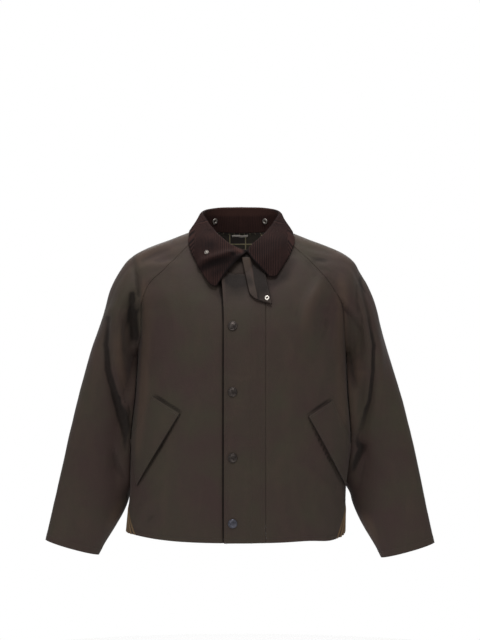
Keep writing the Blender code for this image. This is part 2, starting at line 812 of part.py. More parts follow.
def add_fall(stand, material):
    """The corduroy fall, both leaves in one piece, with its wales raised outside over a plain inside."""
    span = 360.0 - 2 * LEAF_START
    azimuths = [-LEAF_START - span * k / (2 * WALES) for k in range(2 * WALES + 1)]
    azimuths = [azimuth if azimuth > -180 else azimuth + 360 for azimuth in azimuths]
    bases = [rim_at(stand, azimuth) for azimuth in azimuths]
    plain = np.array([fall_line(*pair) for pair in zip(azimuths, bases)]).transpose(1, 0, 2)
    normals = grid_normals(plain, (0, 1, 0))
    wave = np.zeros((len(plain), len(azimuths), 1))
    wave[1:, 1:-1:2] = WALE_OUT
    wave[1:, 2:-1:2] = -WALE_IN
    inner = plain[:, ::2] - normals[:, ::2] * FALL_CLOTH
    for column, (azimuth, base) in enumerate(zip(azimuths[::2], bases[::2])):
        radial = unit(around(azimuth, 1.0, 0.0) - COLLAR_CENTRE)
        inner[0, column] = base + UP * SEAM_GAP
        inner[1, column] = base + radial * (CROWN_OUT - CROWN_INSET) + UP * (CROWN_RISE - FALL_CLOTH)
        inner[2, column] = base + radial * (FOLD_WIDTH - FALL_CLOTH) + UP * (FOLD_RISE - FOLD_INSET)
    add_wall("collar_fall", plain + normals * wave, inner, material)
    return plain


def add_storm_flap(panel, material):
    """The flap over the closing: flush at its seam, raised over the right front, its free edge standing off."""
    outer = panel.set_back()
    for r in range(len(outer)):
        opened = min(max((outer[r, 0, 2] - FLAP_SLIT) / (NECK_FRONT - FLAP_SLIT), 0.0), 1.0)
        for c, (level, slit) in enumerate(zip(FLAP_LEVELS, FLAP_SLIT_LEVELS)):
            outer[r, c] += panel.normals[r, c] * (level + slit * opened)
    add_wall("storm_flap", outer, outer - panel.normals * FLAP_CLOTH, material)
    return outer


def located(panel, angle, height):
    """Point and outward direction on a front panel at an angle and a height below the armpit."""
    heights = panel.points[: len(side_heights()), 0, 2]
    r = float(np.interp(height, heights, np.arange(len(heights))))
    low = min(int(r), len(heights) - 2)
    share = r - low
    line = panel.points[low] * (1 - share) + panel.points[low + 1] * share
    lean = panel.normals[low] * (1 - share) + panel.normals[low + 1] * share
    angles = np.array([abs(angle_at(point[0], height)) for point in line])
    order = np.argsort(angles)
    c = np.interp(abs(angle), angles[order], order)
    return (
        np.array([np.interp(c, np.arange(len(line)), line[:, k]) for k in range(3)]),
        unit(np.array([np.interp(c, np.arange(len(line)), lean[:, k]) for k in range(3)])),
    )


def add_pocket_flap(name, panel, side, material):
    """A slanted pocket flap: sewn along its top and outer edges, its long inner edge standing off."""
    column = "left" if side > 0 else "right"
    points = []
    normals = []
    for down in np.linspace(0.0, 1.0, POCKET_ROWS + 1):
        for across in np.linspace(0.0, 1.0, POCKET_COLUMNS + 1):
            x = 0.0
            height = 0.0
            for corner, weight in (
                (0, (1 - down) * (1 - across)),
                (1, (1 - down) * across),
                (2, down * (1 - across)),
                (3, down * across),
            ):
                x += weight * POCKET.at(corner, f"{column}_x")
                height += weight * POCKET.at(corner, f"{column}_height")
            point, normal = located(panel, angle_at(side * x, height), height)
            free = (1 - across) ** 2 * math.sin(math.pi * down)
            points.append(point + normal * (POCKET_LEVEL + POCKET_LIFT * free))
            normals.append(normal)
    shape = (POCKET_ROWS + 1, POCKET_COLUMNS + 1, 3)
    points = np.array(points).reshape(shape)
    normals = np.array(normals).reshape(shape)
    add_wall(name, points + normals * FLAP_CLOTH, points, material)


def tab_base(x, height):
    """How far forward the cloth under the throat tab is: the collar stand above, the storm flap below."""
    share = (height - NECK_FRONT) / (COLLAR.at(0, "roll_height") - NECK_FRONT)
    foot = BODY.at(NECK_FRONT, "front") + COLLAR_CENTRE[1]
    radius = foot + (COLLAR.at(0, "roll_radius") - foot) * share
    stand = math.sqrt(max(radius**2 - (x - COLLAR_CENTRE[0]) ** 2, 0.0)) - COLLAR_CENTRE[1]
    return max(stand, -skin(angle_at(x, height), height)[1])


def add_throat_tab(material):
    """The tab hanging from under the left leaf, with a folded strip along its right edge."""
    outer = []
    inner = []
    for down in np.linspace(0.0, 1.0, TAB_ROWS + 1):
        near = np.array(TAB_TOP_NEAR) * (1 - down) + np.array(TAB_LOW_NEAR) * down
        far = np.array(TAB_TOP_FAR) * (1 - down) + np.array(TAB_LOW_FAR) * down
        for across, level in TAB_STRIP:
            x, height = near + (far - near) * across
            forward = tab_base(x, height) + TAB_LEVEL + TAB_LIFT * down
            outer.append((x, -forward - FLAP_CLOTH - level, height))
            inner.append((x, -forward, height))
    shape = (TAB_ROWS + 1, len(TAB_STRIP), 3)
    outer = np.array(outer).reshape(shape)
    add_wall("throat_tab", outer, np.array(inner).reshape(shape), material)
    return outer


def add_neck_lining(panel, material, tape_cloth):
    """The lining of the upper back and the hanger tape in front of it, from the back panel's own points."""
    inset = slice(LINING_INSET, panel.points.shape[1] - LINING_INSET)
    top = 1 - LINING_DROP
    points = panel.points[-LINING_ROWS:, inset].copy()
    points[-1] = points[-1] * top + points[-2] * LINING_DROP
    normals = panel.normals[-LINING_ROWS:, inset]
    outer = points - normals * (CLOTH + SEAM_GAP)
    add_wall("neck_lining", outer, outer - normals * LINING_CLOTH, material)
    centre = panel.points.shape[1] // 2
    middle = slice(centre - 1, centre + 2)
    ends = panel.points[[-2, -1], middle]
    lean = panel.normals[[-2, -1], middle]
    rows = []
    for share in TAPE_SHARES:
        rows.append(ends[0] * (1 - share) + ends[1] * share)
    level = CLOTH + LINING_CLOTH + 3 * SEAM_GAP
    outer = np.array(rows) - lean * level
    add_wall("hanger_tape", outer, outer - lean * TAPE, tape_cloth)


def seen_at(grid, x, height, rear=False):
    """Point and forward direction where a line straight through from the front meets a grid."""
    found = None
    rows, columns = grid.shape[:2]
    for r, c in np.ndindex(rows - 1, columns - 1):
        a, b, d, e = grid[r, c], grid[r, c + 1], grid[r + 1, c + 1], grid[r + 1, c]
        for first, second, third in ((a, b, d), (a, d, e)):
            one = second - first
            two = third - first
            span = one[0] * two[2] - one[2] * two[0]
            if abs(span) < 1e-6:
                continue
            off = (x - first[0], height - first[2])
            s = (off[0] * two[2] - off[1] * two[0]) / span
            t = (one[0] * off[1] - one[2] * off[0]) / span
            if min(s, t) < 0 or s + t > 1:
                continue
            point = first + one * s + two * t
            if found is None or (point[1] > found[0][1]) == rear:
                normal = unit(np.cross(one, two))
                found = (point, normal if normal[1] < 0 else -normal)
    return found


def add_stud(name, grid, place, profile, material, rear=False, lift=STUD_GAP):
    """A turned piece standing just off a cloth grid at a place across and up."""
    point, direction = seen_at(grid, place[0], place[1], rear)
    add_turned(name, profile, point + direction * lift, direction, material)


def cap_profile(width, height):
    """Profile of a press stud's cap, a raised ring round a shallow dish."""
    radius = width / 2
    return (
        (0, 0),
        (radius, 0),
        (radius, 0.45 * height),
        (0.9 * radius, 0.86 * height),
        (0.74 * radius, height),
        (0.62 * radius, 0.78 * height),
        (0, 0.86 * height),
    )


def ring_profile(width, hole, height):
    """Profile of an open ring stud."""
    return (
        (hole / 2, 0),
        (width / 2, 0),
        (width / 2, 0.55 * height),
        (0.4 * width, height),
        (hole / 2, 0.8 * height),
    )


def main():
    """Builds the jacket."""
    for thing in list(bpy.data.objects):
        bpy.data.objects.remove(thing, do_unlink=True)
    holder = bpy.data.objects.new("jacket", None)
    bpy.context.scene.collection.objects.link(holder)
    wax = finish("waxed_cotton", (0.048, 0.038, 0.032), 0.5)
    cord = finish("corduroy", (0.028, 0.014, 0.011), 0.9)
    lining = finish("check_lining", (0.05, 0.05, 0.03), 0.85)
    tape = finish("cotton_tape", (0.5, 0.45, 0.36), 0.85)
    dark_metal = finish("antique_metal", (0.08, 0.06, 0.045), 0.4, 1.0)
    bright_metal = finish("nickel", (0.6, 0.58, 0.54), 0.3, 1.0)
    shell = build_shell(wax, cord)
    flap = add_storm_flap(shell["storm_flap"], wax)
    fall = add_fall(shell["collar_stand"], cord)
    tab = add_throat_tab(wax)
    add_pocket_flap("pocket_flap_right", shell["front_right"], -1, wax)
    add_pocket_flap("pocket_flap_left", shell["front_left"], 1, wax)
    add_neck_lining(shell["back_panel"], lining, tape)
    for number in range(STUDS):
        place = (STUD_X, STUD_TOP - number * STUD_PITCH)
        add_stud(f"press_stud_{number + 1}", flap, place, cap_profile(STUD_WIDTH, STUD_HEIGHT), dark_metal)
    small_cap = cap_profile(COLLAR_STUD_WIDTH, STUD_HEIGHT)
    add_stud("collar_stud", fall, COLLAR_STUD, small_cap, bright_metal, lift=WALE_CLEAR)
    tab_ring = ring_profile(TAB_STUD_WIDTH, RING_HOLE, RING_HEIGHT)
    add_stud("tab_stud", tab, TAB_STUD, tab_ring, bright_metal)
    stand = shell["collar_stand"]
    inside = stand.points - stand.normals * STAND_CLOTH
    hood_ring = ring_profile(RING_WIDTH, RING_HOLE, RING_HEIGHT)
    for name, side in (("right", -1), ("left", 1)):
        place = (side * HOOD_STUD_X, HOOD_STUD_HEIGHT)
        add_stud(f"hood_stud_{name}", inside, place, hood_ring, dark_metal, True, HOOD_CLEAR)


main()
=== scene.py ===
"""Looks of the waxed cotton jacket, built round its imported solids.

Sizes are millimetres until a mesh is made. +X is the wearer's left, -Y the front, +Z up, and the origin is
the middle of the neck hole. Angles run round the body from the front centre, negative on the right side.
"""

import logging
import math
from dataclasses import dataclass, field
from enum import Enum
from functools import partialmethod
from typing import Iterable, Sequence

import bmesh
import bpy
import numpy as np
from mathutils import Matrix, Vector

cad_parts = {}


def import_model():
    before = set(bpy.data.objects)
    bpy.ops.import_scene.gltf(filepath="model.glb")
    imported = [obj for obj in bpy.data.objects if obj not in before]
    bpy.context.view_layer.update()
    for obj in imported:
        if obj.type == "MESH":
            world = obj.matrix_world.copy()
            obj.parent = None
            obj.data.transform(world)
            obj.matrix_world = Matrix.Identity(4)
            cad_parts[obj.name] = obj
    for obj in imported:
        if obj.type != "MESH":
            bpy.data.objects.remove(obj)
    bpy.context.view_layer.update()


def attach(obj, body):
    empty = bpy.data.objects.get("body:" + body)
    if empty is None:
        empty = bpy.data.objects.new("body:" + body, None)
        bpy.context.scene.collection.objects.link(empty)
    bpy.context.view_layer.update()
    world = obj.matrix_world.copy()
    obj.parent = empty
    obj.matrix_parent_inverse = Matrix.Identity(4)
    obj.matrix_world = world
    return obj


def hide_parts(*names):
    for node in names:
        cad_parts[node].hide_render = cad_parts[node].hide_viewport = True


log = logging.getLogger("jacket")
MM = 0.001
UP = np.array([0.0, 0.0, 1.0])
FORWARD = (0, -1, 0)
BACKWARD = (0, 1, 0)
Array = np.ndarray
Colour = tuple[float, float, float, float]
Span = tuple[float, float]
Material = bpy.types.Material


# ---------------------------------------------------------------- sizes and forms


class Part(Enum):
    """Half of the jacket that a panel or a sleeve half belongs to."""

    FRONT = "front"
    BACK = "back"


class Side(Enum):
    """The wearer's side, with its sign along X."""

    RIGHT = -1
    LEFT = 1

    @property
    def word(self) -> str:
        """Lower-case name of the side."""
        return self.name.lower()


def unit(vectors: Array) -> Array:
    """Vectors scaled to length 1."""
    return vectors / np.maximum(np.linalg.norm(vectors, axis=-1, keepdims=True), 1e-9)


def within(value: Array) -> Array:
    """Values held between 0 and 1."""
    return np.clip(value, 0.0, 1.0)


def smooth(value: Array, low: float, high: float) -> Array:
    """Soft step from 0 at low to 1 at high; low may be the larger."""
    t = within((value - low) / (high - low))
    return t * t * (3 - 2 * t)


def bell(value: Array) -> Array:
    """Bell curve that is 1 at 0 and fades to either side."""
    return np.exp(-(value**2))


def running(steps: Array) -> Array:
    """Running total of steps, from 0."""
    return np.concatenate(([0.0], np.cumsum(steps)))


def gaps(points: Array, axis: int = 0) -> Array:
    """Distances between neighbouring points along an axis."""
    return np.linalg.norm(np.diff(points, axis=axis), axis=-1)


def from_ends(count: int) -> Array:
    """Number of places from the nearer end of a row."""
    return np.minimum(np.arange(count), np.arange(count)[::-1])


def measured(points: Array) -> tuple[float, float, float]:
    """Widest width, longest length and area of a grid laid flat, in metres.

    Args:
        points: grid of points.

    Returns:
        Width, length and area.
    """
    one, two = np.diff(points, axis=0)[:, :-1], np.diff(points, axis=1)[:-1]
    area = np.linalg.norm(np.cross(one, two), axis=2).sum() * MM * MM
    width, length = gaps(points, 1).sum(1).max() * MM, gaps(points).sum(0).max() * MM
    return width, length, min(max(area, 0.31 * width * length), width * length)


def spread(corners: Sequence[Span], rows: int, columns: int) -> tuple[Array, Array, Array, Array]:
    """Grid between four corners.

    Args:
        corners: places across and up: the first row's two, then the last row's.
        rows: number of steps down.
        columns: number of steps across.

    Returns:
        Share of the way down and across, then place across and up, of each point.
    """
    down, across = np.meshgrid(np.linspace(0, 1, rows + 1), np.linspace(0, 1, columns + 1), indexing="ij")
    weights = ((1 - down) * (1 - across), (1 - down) * across, down * (1 - across), down * across)
    x, z = (sum(w * corner[k] for w, corner in zip(weights, corners)) for k in (0, 1))
    return down, across, x, z


class Table:
    """Rows of sizes under named columns, read smoothly between rows by the first column."""

    def __init__(self, columns: str, *rows: Sequence[float]) -> None:
        """Sorts the rows and works out a slope for each.

        Args:
            columns: names of the columns, the key first.
            rows: one sequence of numbers per row.
        """
        data = np.array(sorted(rows), float)
        self.keys = data[:, 0]
        names = columns.split()[1:]
        self.columns = {name: (values, self._slopes(values)) for name, values in zip(names, data.T[1:])}

    def _slopes(self, values: Array) -> Array:
        """Slopes that keep the curve between its rows.

        Args:
            values: one value per row of the table.

        Returns:
            One slope per row.
        """
        step = np.diff(self.keys)
        rise = np.diff(values) / step
        slope = np.zeros(len(values))
        slope[0], slope[-1] = rise[0], rise[-1]
        for k in range(1, len(values) - 1):
            if rise[k - 1] * rise[k] > 0:
                near, far = 2 * step[k] + step[k - 1], step[k] + 2 * step[k - 1]
                slope[k] = (near + far) / (near / rise[k - 1] + far / rise[k])
        return slope

    def at(self, key: Array, column: str) -> Array:
        """Values of a column at keys, held level past both ends.

        Args:
            key: values of the first column.
            column: name of the column to read.

        Returns:
            One value per key.
        """
        values, slope = self.columns[column]
        k = np.clip(np.searchsorted(self.keys, key) - 1, 0, len(values) - 2)
        step = self.keys[k + 1] - self.keys[k]
        t = within((key - self.keys[k]) / step)
        start = values[k] * (1 + 2 * t) * (1 - t) ** 2 + step * slope[k] * t * (1 - t) ** 2
        return start + values[k + 1] * t * t * (3 - 2 * t) + step * slope[k + 1] * t * t * (t - 1)


@dataclass(frozen=True)
class BodyForm:
    """Sections of the filled-out body and the lines where its panels meet."""

    armpit: float = -248.0
    chest_right: float = 214.0
    chest_left: float = 222.0
    neck_ridge: float = 16.0
    squareness: float = 2.4
    hem_front: float = -624.0
    hem_side: float = -617.0
    hem_back: float = -620.0
    neck_front: float = -80.0
    neck_back: float = 14.0
    neck_dip: float = 24.0
    neck_half: float = 90.0
    gusset_top: float = -552.0
    gusset_close: float = 3.5
    gusset_angle: float = math.radians(28.0)
    gusset_tip: float = math.radians(1.2)
    side_bend: float = 3.0
    raglan_rows: int = 64
    body_rows: int = 92
    gusset_rows: int = 14
    neck_columns: int = 14
    sections: Table = Table(
        "height right left front back",
        (16, 90, 90, 42, 76), (8, 110, 112, 47, 84), (-5, 142, 145, 53, 92), (-20, 178, 180, 62, 100),
        (-36, 210, 208, 70, 107), (-47, 228, 228, 76, 110), (-80, 252, 252, 92, 118),
        (-113, 252, 254, 106, 123), (-153, 228, 236, 119, 127), (-197, 217, 225, 127, 127),
        (-248, 214, 222, 130, 124), (-330, 219, 226, 130, 118), (-420, 228, 232, 128, 113),
        (-530, 231, 222, 126, 112), (-617, 238, 220, 122, 112),
    )
    raglan_front: Table = Table(
        "height right left",
        (-2, 88, 88), (-26, 113, 115), (-46, 133, 138), (-67, 153, 157), (-103, 188, 187), (-128, 199, 203),
        (-153, 204, 213), (-197, 207, 217), (-248, 214, 222),
    )
    raglan_back: Table = Table(
        "height right left",
        (16, 78, 78), (2, 104, 104), (-20, 131, 131), (-48, 157, 157), (-80, 180, 182), (-115, 196, 200),
        (-155, 205, 212), (-200, 210, 217), (-248, 214, 222),
    )

    def wide(self, x: Array, height: Array) -> Array:
        """Reach of the skin to the side that x is on."""
        return np.where(x >= 0, self.sections.at(height, "left"), self.sections.at(height, "right"))

    def deep(self, y: Array, height: Array) -> Array:
        """Reach of the skin to the front where y is below 0, and else to the back."""
        return np.where(y < 0, self.sections.at(height, "front"), self.sections.at(height, "back"))

    def skin(self, angle: Array, height: Array) -> Array:
        """Points of the body's outer skin at angles round it and heights.

        Args:
            angle: angles round the body.
            height: heights.

        Returns:
            One point per angle and height.
        """
        angle, height = np.broadcast_arrays(np.asarray(angle, float), np.asarray(height, float))
        turn, back = np.sin(angle), -np.cos(angle)
        across = np.sign(turn) * self.wide(turn, height) * np.abs(turn) ** (2 / self.squareness)
        return np.stack([across, self.deep(back, height) * back, height], axis=-1)

    def angle_at(self, x: Array, height: Array, part: Part = Part.FRONT) -> Array:
        """Angles at which the skin is x from the middle.

        Args:
            x: places across.
            height: heights.
            part: front or back.

        Returns:
            One angle per place.
        """
        x, height = np.broadcast_arrays(np.asarray(x, float), np.asarray(height, float))
        angle = np.arcsin(np.minimum(np.abs(x) / self.wide(x, height), 1.0) ** (self.squareness / 2))
        return np.copysign(math.pi - angle if part is Part.BACK else angle, x)

    def normal(self, angle: Array, height: Array) -> Array:
        """Outward directions of the skin.

        Args:
            angle: angles round the body.
            height: heights.

        Returns:
            One unit vector per angle and height.
        """
        across = self.skin(angle + 0.02, height) - self.skin(angle - 0.02, height)
        rise = self.skin(angle, height + 1.0) - self.skin(angle, height - 1.0)
        direction = unit(np.cross(across, rise))
        away = (direction * self.skin(angle, height) * (1, 1, 0)).sum(-1, keepdims=True)
        return direction * np.sign(away)

    def clearance(self, points: Array) -> Array:
        """Distance across from the skin to points beside it, 0 on it and negative inside.

        Args:
            points: places beside the body.

        Returns:
            One distance per point.
        """
        x, y, z = points[..., 0], points[..., 1], points[..., 2]
        inside = np.maximum(1 - np.minimum(np.abs(y) / self.deep(y, z), 1.0) ** self.squareness, 0.0)
        return np.abs(x) - self.wide(x, z) * inside ** (1 / self.squareness)

    def raglan(self, side: Side, part: Part) -> Array:
        """Raglan seam from the armpit up to the neck, in even steps.

        Args:
            side: the wearer's side.
            part: front or back.

        Returns:
            Points along the seam.
        """
        table = self.raglan_front if part is Part.FRONT else self.raglan_back
        height = np.linspace(self.armpit, table.keys[-1], 400)
        x = side.value * table.at(height, side.word)
        line = self.skin(self.angle_at(x, height, part), height)
        run = running(gaps(line))
        steps = np.linspace(0.0, run[-1], self.raglan_rows + 1)
        return np.stack([np.interp(steps, run, line[:, k]) for k in range(3)], axis=1)

    def side_heights(self) -> Array:
        """Heights of the rows from the hem to just below the armpit.

        Returns:
            One height per row.
        """
        low = np.linspace(self.hem_side, self.gusset_top, self.gusset_rows + 1)
        high = np.linspace(self.gusset_top + self.gusset_close, self.armpit, self.body_rows + 1)
        return np.concatenate((low, high[:-1]))

    def gusset_turn(self, height: Array) -> Array:
        """Half angle that a side gusset takes at a height.

        Args:
            height: heights.

        Returns:
            One angle per height, 0 above the gusset.
        """
        share = (self.gusset_top - height) / (self.gusset_top - self.hem_side)
        turn = self.gusset_tip + (self.gusset_angle - self.gusset_tip) * share
        return np.where(height > self.gusset_top + 0.01, 0.0, turn)

    def edge(self, side: Side, part: Part) -> Array:
        """Outer edge of a front or the back: up the side, then along the raglan seam.

        Args:
            side: the wearer's side.
            part: front or back.

        Returns:
            Points from the hem up.
        """
        heights = self.side_heights()
        turn = self.gusset_turn(heights)
        angle = math.pi / 2 + (turn if part is Part.BACK else -turn)
        return np.concatenate((self.skin(side.value * angle, heights), self.raglan(side, part)))

    def centres(self, part: Part) -> tuple[Array, Array, Array]:
        """Middle heights of the rows, their dips and how sharply their ends turn.

        Args:
            part: front or back.

        Returns:
            Three rows of values, from the hem up.
        """
        lower = self.side_heights()
        hem, neck, dip = self.hem_front, self.neck_front, self.neck_dip
        if part is Part.BACK:
            hem, neck, dip = self.hem_back, self.neck_back, 0.0
        drop = np.maximum((self.gusset_top - lower) / (self.gusset_top - self.hem_side), 0.0)
        share = np.arange(self.raglan_rows + 1) / self.raglan_rows
        upper = self.armpit + (neck - self.armpit) * share
        centre = np.concatenate((lower + (hem - self.hem_side) * drop, upper))
        dips = np.concatenate((np.zeros(len(lower)), dip * share))
        bends = np.concatenate((np.full(len(lower), self.side_bend), np.ones(len(share))))
        return centre, dips, bends

    def points(self, x: Array, part: Part) -> Array:
        """Points of the rows at distances x from the middle.

        Args:
            x: one row of distances for each row of the panel, all on one side.
            part: front or back.

        Returns:
            A grid of points from the hem up.
        """
        end = self.edge(Side.LEFT if x.mean() >= 0 else Side.RIGHT, part)
        centre, dips, bends = (v[:, None] for v in self.centres(part))
        share = np.minimum(np.abs(x / end[:, :1]), 1.0)
        height = centre + (end[:, 2:] - centre) * share**bends - 4 * dips * share * (1 - share)
        return self.skin(self.angle_at(x, height, part), height)

    def toward(self, side: Side, part: Part, start: Array, count: int, ease: float = 1.0) -> Array:
        """Grid from x = start to a panel's edge, closer together where the body turns away.

        Args:
            side: the side to go to.
            part: front or back.
            start: distance from the middle at which each row starts.
            count: number of steps across.
            ease: above 1, the steps are closer together near the start.

        Returns:
            A grid of points from the hem up, the edge last.
        """
        end = self.edge(side, part)
        reach = np.abs(end[:, 0])
        last = np.abs(np.sin(self.angle_at(end[:, 0], end[:, 2])))
        first = np.arcsin((np.abs(start) / reach) ** (self.squareness / 2) * last)
        share = np.linspace(0.0, 1.0, count + 1)[None, :] ** ease
        turn = first[:, None] + (np.arcsin(last) - first)[:, None] * share
        x = side.value * reach[:, None] * (np.sin(turn) / last[:, None]) ** (2 / self.squareness)
        grid = self.points(x + side.value * 1e-6, part)
        grid[:, -1] = end
        return grid


@dataclass(frozen=True)
class SleeveForm:
    """Sections of the hanging sleeves from the neck to the cuff, and how close they hang to the body.

    Each pair of a blunt or hang size is a soft step: none of it happens at the first value, and all of it past
    the second.
    """

    rings: int = 132
    left_drop: float = 6.0
    blunt: float = 0.58
    blunt_from: Span = (0.24, 0.5)
    blunt_to: Span = (0.84, 0.68)
    blunt_turn: Span = (1.75, 2.35)
    hang_gap: float = 1.2
    hang_in: float = 16.0
    hang_top: Span = (-243.0, -252.0)
    hang_low: Span = (-548.0, -505.0)
    hang_reach: Span = (34.0, 10.0)
    hang_back: Span = (78.0, 50.0)
    hang_front: Span = (-16.0, 10.0)
    hang_behind: Span = (30.0, 58.0)
    hang_start: Span = (-262.0, -340.0)
    hang_shift: Span = (80.0, 28.0)
    sections: Table = Table(
        "part over_x over_y over_z under_out under_y under_z front back seam",
        (0.0, 90, 0, 16, 0, 0, -248, 78, 78, 1.0), (0.073, 142, 0, -4, 2, 3, -252, 77, 78, 0.82),
        (0.198, 230, 0, -44, 5, 8, -261, 75, 78, 0.50), (0.253, 256, 0, -79, 6.5, 11, -270, 74, 78, 0.36),
        (0.307, 274, 0, -117, 8, 15, -282, 72, 77, 0.25), (0.431, 300, -2, -208, 8.5, 26, -320, 68, 72, 0.08),
        (0.568, 329, -4, -309, 7.5, 38, -385, 58, 58, 0.0), (0.704, 355, -6, -410, 7, 42, -455, 46, 46, 0.0),
        (0.837, 379, -6, -510, 17, 36, -545, 33, 34, 0.0), (1.0, 407, -4, -634, 79, 8, -667, 29, 31, 0.0),
    )

    def ring(self, station: float, side: Side, body: BodyForm) -> tuple[Array, Array, dict[str, float]]:
        """Top, underarm and depths of a section.

        Args:
            station: share of the way from the neck to the cuff.
            side: the wearer's side.
            body: the body that the sleeve leaves.

        Returns:
            The top point, the underarm point and the section's other sizes.
        """
        read = {name: float(self.sections.at(np.array(station), name)) for name in self.sections.columns}
        armpit = body.chest_left if side is Side.LEFT else body.chest_right
        under_x = armpit + ((body.chest_left + body.chest_right) / 2 - armpit) * station + read["under_out"]
        drop = self.left_drop * station**2 if side is Side.LEFT else 0.0
        over = np.array([side.value * read["over_x"], read["over_y"], read["over_z"] - drop])
        under = np.array([side.value * under_x, read["under_y"], read["under_z"] - drop])
        return over, under, read

    def neck(self, side: Side, part: Part, body: BodyForm) -> Array:
        """Top edge of a sleeve half, from the shoulder ridge to the raglan seam's end.

        Args:
            side: the wearer's side.
            part: front or back.
            body: the body that it hangs on.

        Returns:
            Points from the ridge down.
        """
        share = np.linspace(0.0, 1.0, body.neck_columns + 1)
        ridge = body.neck_ridge
        if part is Part.FRONT:
            low = body.raglan_front.keys[-1]
            height = ridge + (low - ridge) * share**2
            x = body.neck_half + (body.raglan_front.at(low, "left") - body.neck_half) * share
            return body.skin(side.value * np.abs(body.angle_at(x, height)), height)
        end = abs(float(body.angle_at(body.raglan_back.at(ridge, "left"), ridge, Part.BACK)))
        angle = math.pi / 2 + (end - math.pi / 2) * share
        return body.skin(side.value * angle, np.full(len(share), ridge))

    def grid(self, side: Side, part: Part, body: BodyForm) -> Array:
        """Grid of a sleeve half: rings from the raglan seam to the cuff, lines from the top to the underarm.

        Args:
            side: the wearer's side.
            part: front or back.
            body: the body that it hangs on.

        Returns:
            The rings, from the neck to the cuff.
        """
        start = np.concatenate((self.neck(side, part, body)[:-1], body.raglan(side, part)[::-1]))
        sign = -1 if part is Part.FRONT else 1
        over, under, read = self.ring(0.0, side, body)
        chord = (under - over) * (1, 0, 1)
        share = within((start - over) @ chord / (chord @ chord))
        share[0], share[-1] = 0.0, 1.0
        seam_turn = np.arccos(1 - 2 * share)
        even = np.linspace(0.0, math.pi, len(start))
        own, rings = None, []
        for station in np.linspace(0.0, 1.0, self.rings + 1):
            over, under, read = self.ring(station, side, body)
            turn = even + (seam_turn - even) * read["seam"]
            ring = (over + under) / 2 + np.outer(np.cos(turn), (over - under) / 2)
            bulge = within(np.sin(turn))
            place = np.array(station)
            hung = float(smooth(place, *self.blunt_from) * smooth(place, *self.blunt_to))
            bulge += hung * smooth(turn, *self.blunt_turn) * (bulge**self.blunt - bulge)
            ring[:, 1] += sign * read[part.value] * bulge
            own = start - ring if own is None else own
            rings.append(ring + own * read["seam"])
        return self.close_by(np.array(rings), body)

    def close_by(self, grid: Array, body: BodyForm) -> Array:
        """Lets a hanging sleeve lie just clear of the body behind its widest line.

        Args:
            grid: rings of a sleeve half.
            body: the body that it hangs on.

        Returns:
            The same grid, moved.
        """
        clear = body.clearance(grid)
        y, z = grid[..., 1], grid[..., 2]
        top, below = self.hang_top
        lower, ahead = self.hang_shift
        share = smooth(z, top, below - lower * smooth(y, *self.hang_behind))
        share = share * smooth(z, *self.hang_low) * smooth(clear, *self.hang_reach)
        share = share * smooth(y, *self.hang_back)
        share = share * smooth(y + ahead * smooth(z, *self.hang_start), *self.hang_front)
        grid[..., 0] -= np.sign(grid[..., 0]) * np.clip(clear - self.hang_gap, 0.0, self.hang_in * share)
        return grid


# ---------------------------------------------------------------- folds and creases


@dataclass(frozen=True)
class Crease:
    """A crease seen from the front or back: its line across and up, its depth outward, width and lean.

    The far width is that of the side right of its line, where it differs.
    """

    line: tuple[Span, ...]
    depth: float
    width: float
    lean: float = 0.0
    far: float = 0.0

    def lift(self, x: Array, z: Array) -> Array:
        """Outward distance that the crease moves points at x and z.

        The ends taper. A lean turns the soft ridge into a fold with one steep side, right of its line where
        positive.

        Args:
            x: places across.
            z: heights.

        Returns:
            One distance per place.
        """
        path = np.array(self.line, float)
        lengths = gaps(path)
        ends = running(lengths)
        best = np.full(x.shape, 1e9)
        along, across = np.zeros(x.shape), np.zeros(x.shape)
        for k, direction in enumerate(np.diff(path, axis=0) / lengths[:, None]):
            dx, dz = x - path[k, 0], z - path[k, 1]
            share = np.clip(dx * direction[0] + dz * direction[1], 0.0, lengths[k])
            away = np.hypot(dx - direction[0] * share, dz - direction[1] * share)
            near = away < best
            best = np.where(near, away, best)
            along = np.where(near, ends[k] + share, along)
            across = np.where(near, dx * direction[1] - dz * direction[0], across)
        taper = np.sin(math.pi * within(0.12 + 0.76 * within(along / ends[-1]))) ** 0.8
        s = best / np.where(across > 0, self.far or self.width, self.width)
        fold = np.clip(across / self.width, -3, 3) * np.exp(-0.5 * s * s)
        return self.depth * taper * (bell(s) * (1 - abs(self.lean)) + self.lean * fold)


def creases(text: str) -> tuple[Crease, ...]:
    """Creases from lines of text, of which those that start with # are headings.

    Args:
        text: on each line the depth, the width, and the lean and far width where there are any. After a colon
            follow the places of the line, across and up in turn.

    Returns:
        One crease per line.
    """
    made = []
    for row in text.split("\n"):
        if ":" in row:
            sizes, line = (list(map(float, half.split())) for half in row.split(":"))
            made.append(Crease(tuple(zip(line[::2], line[1::2])), *sizes))
    return tuple(made)


def lifted(group: Iterable[Crease], points: Array) -> Array:
    """Total of a group of creases at points."""
    return sum(crease.lift(points[..., 0], points[..., 2]) for crease in group)


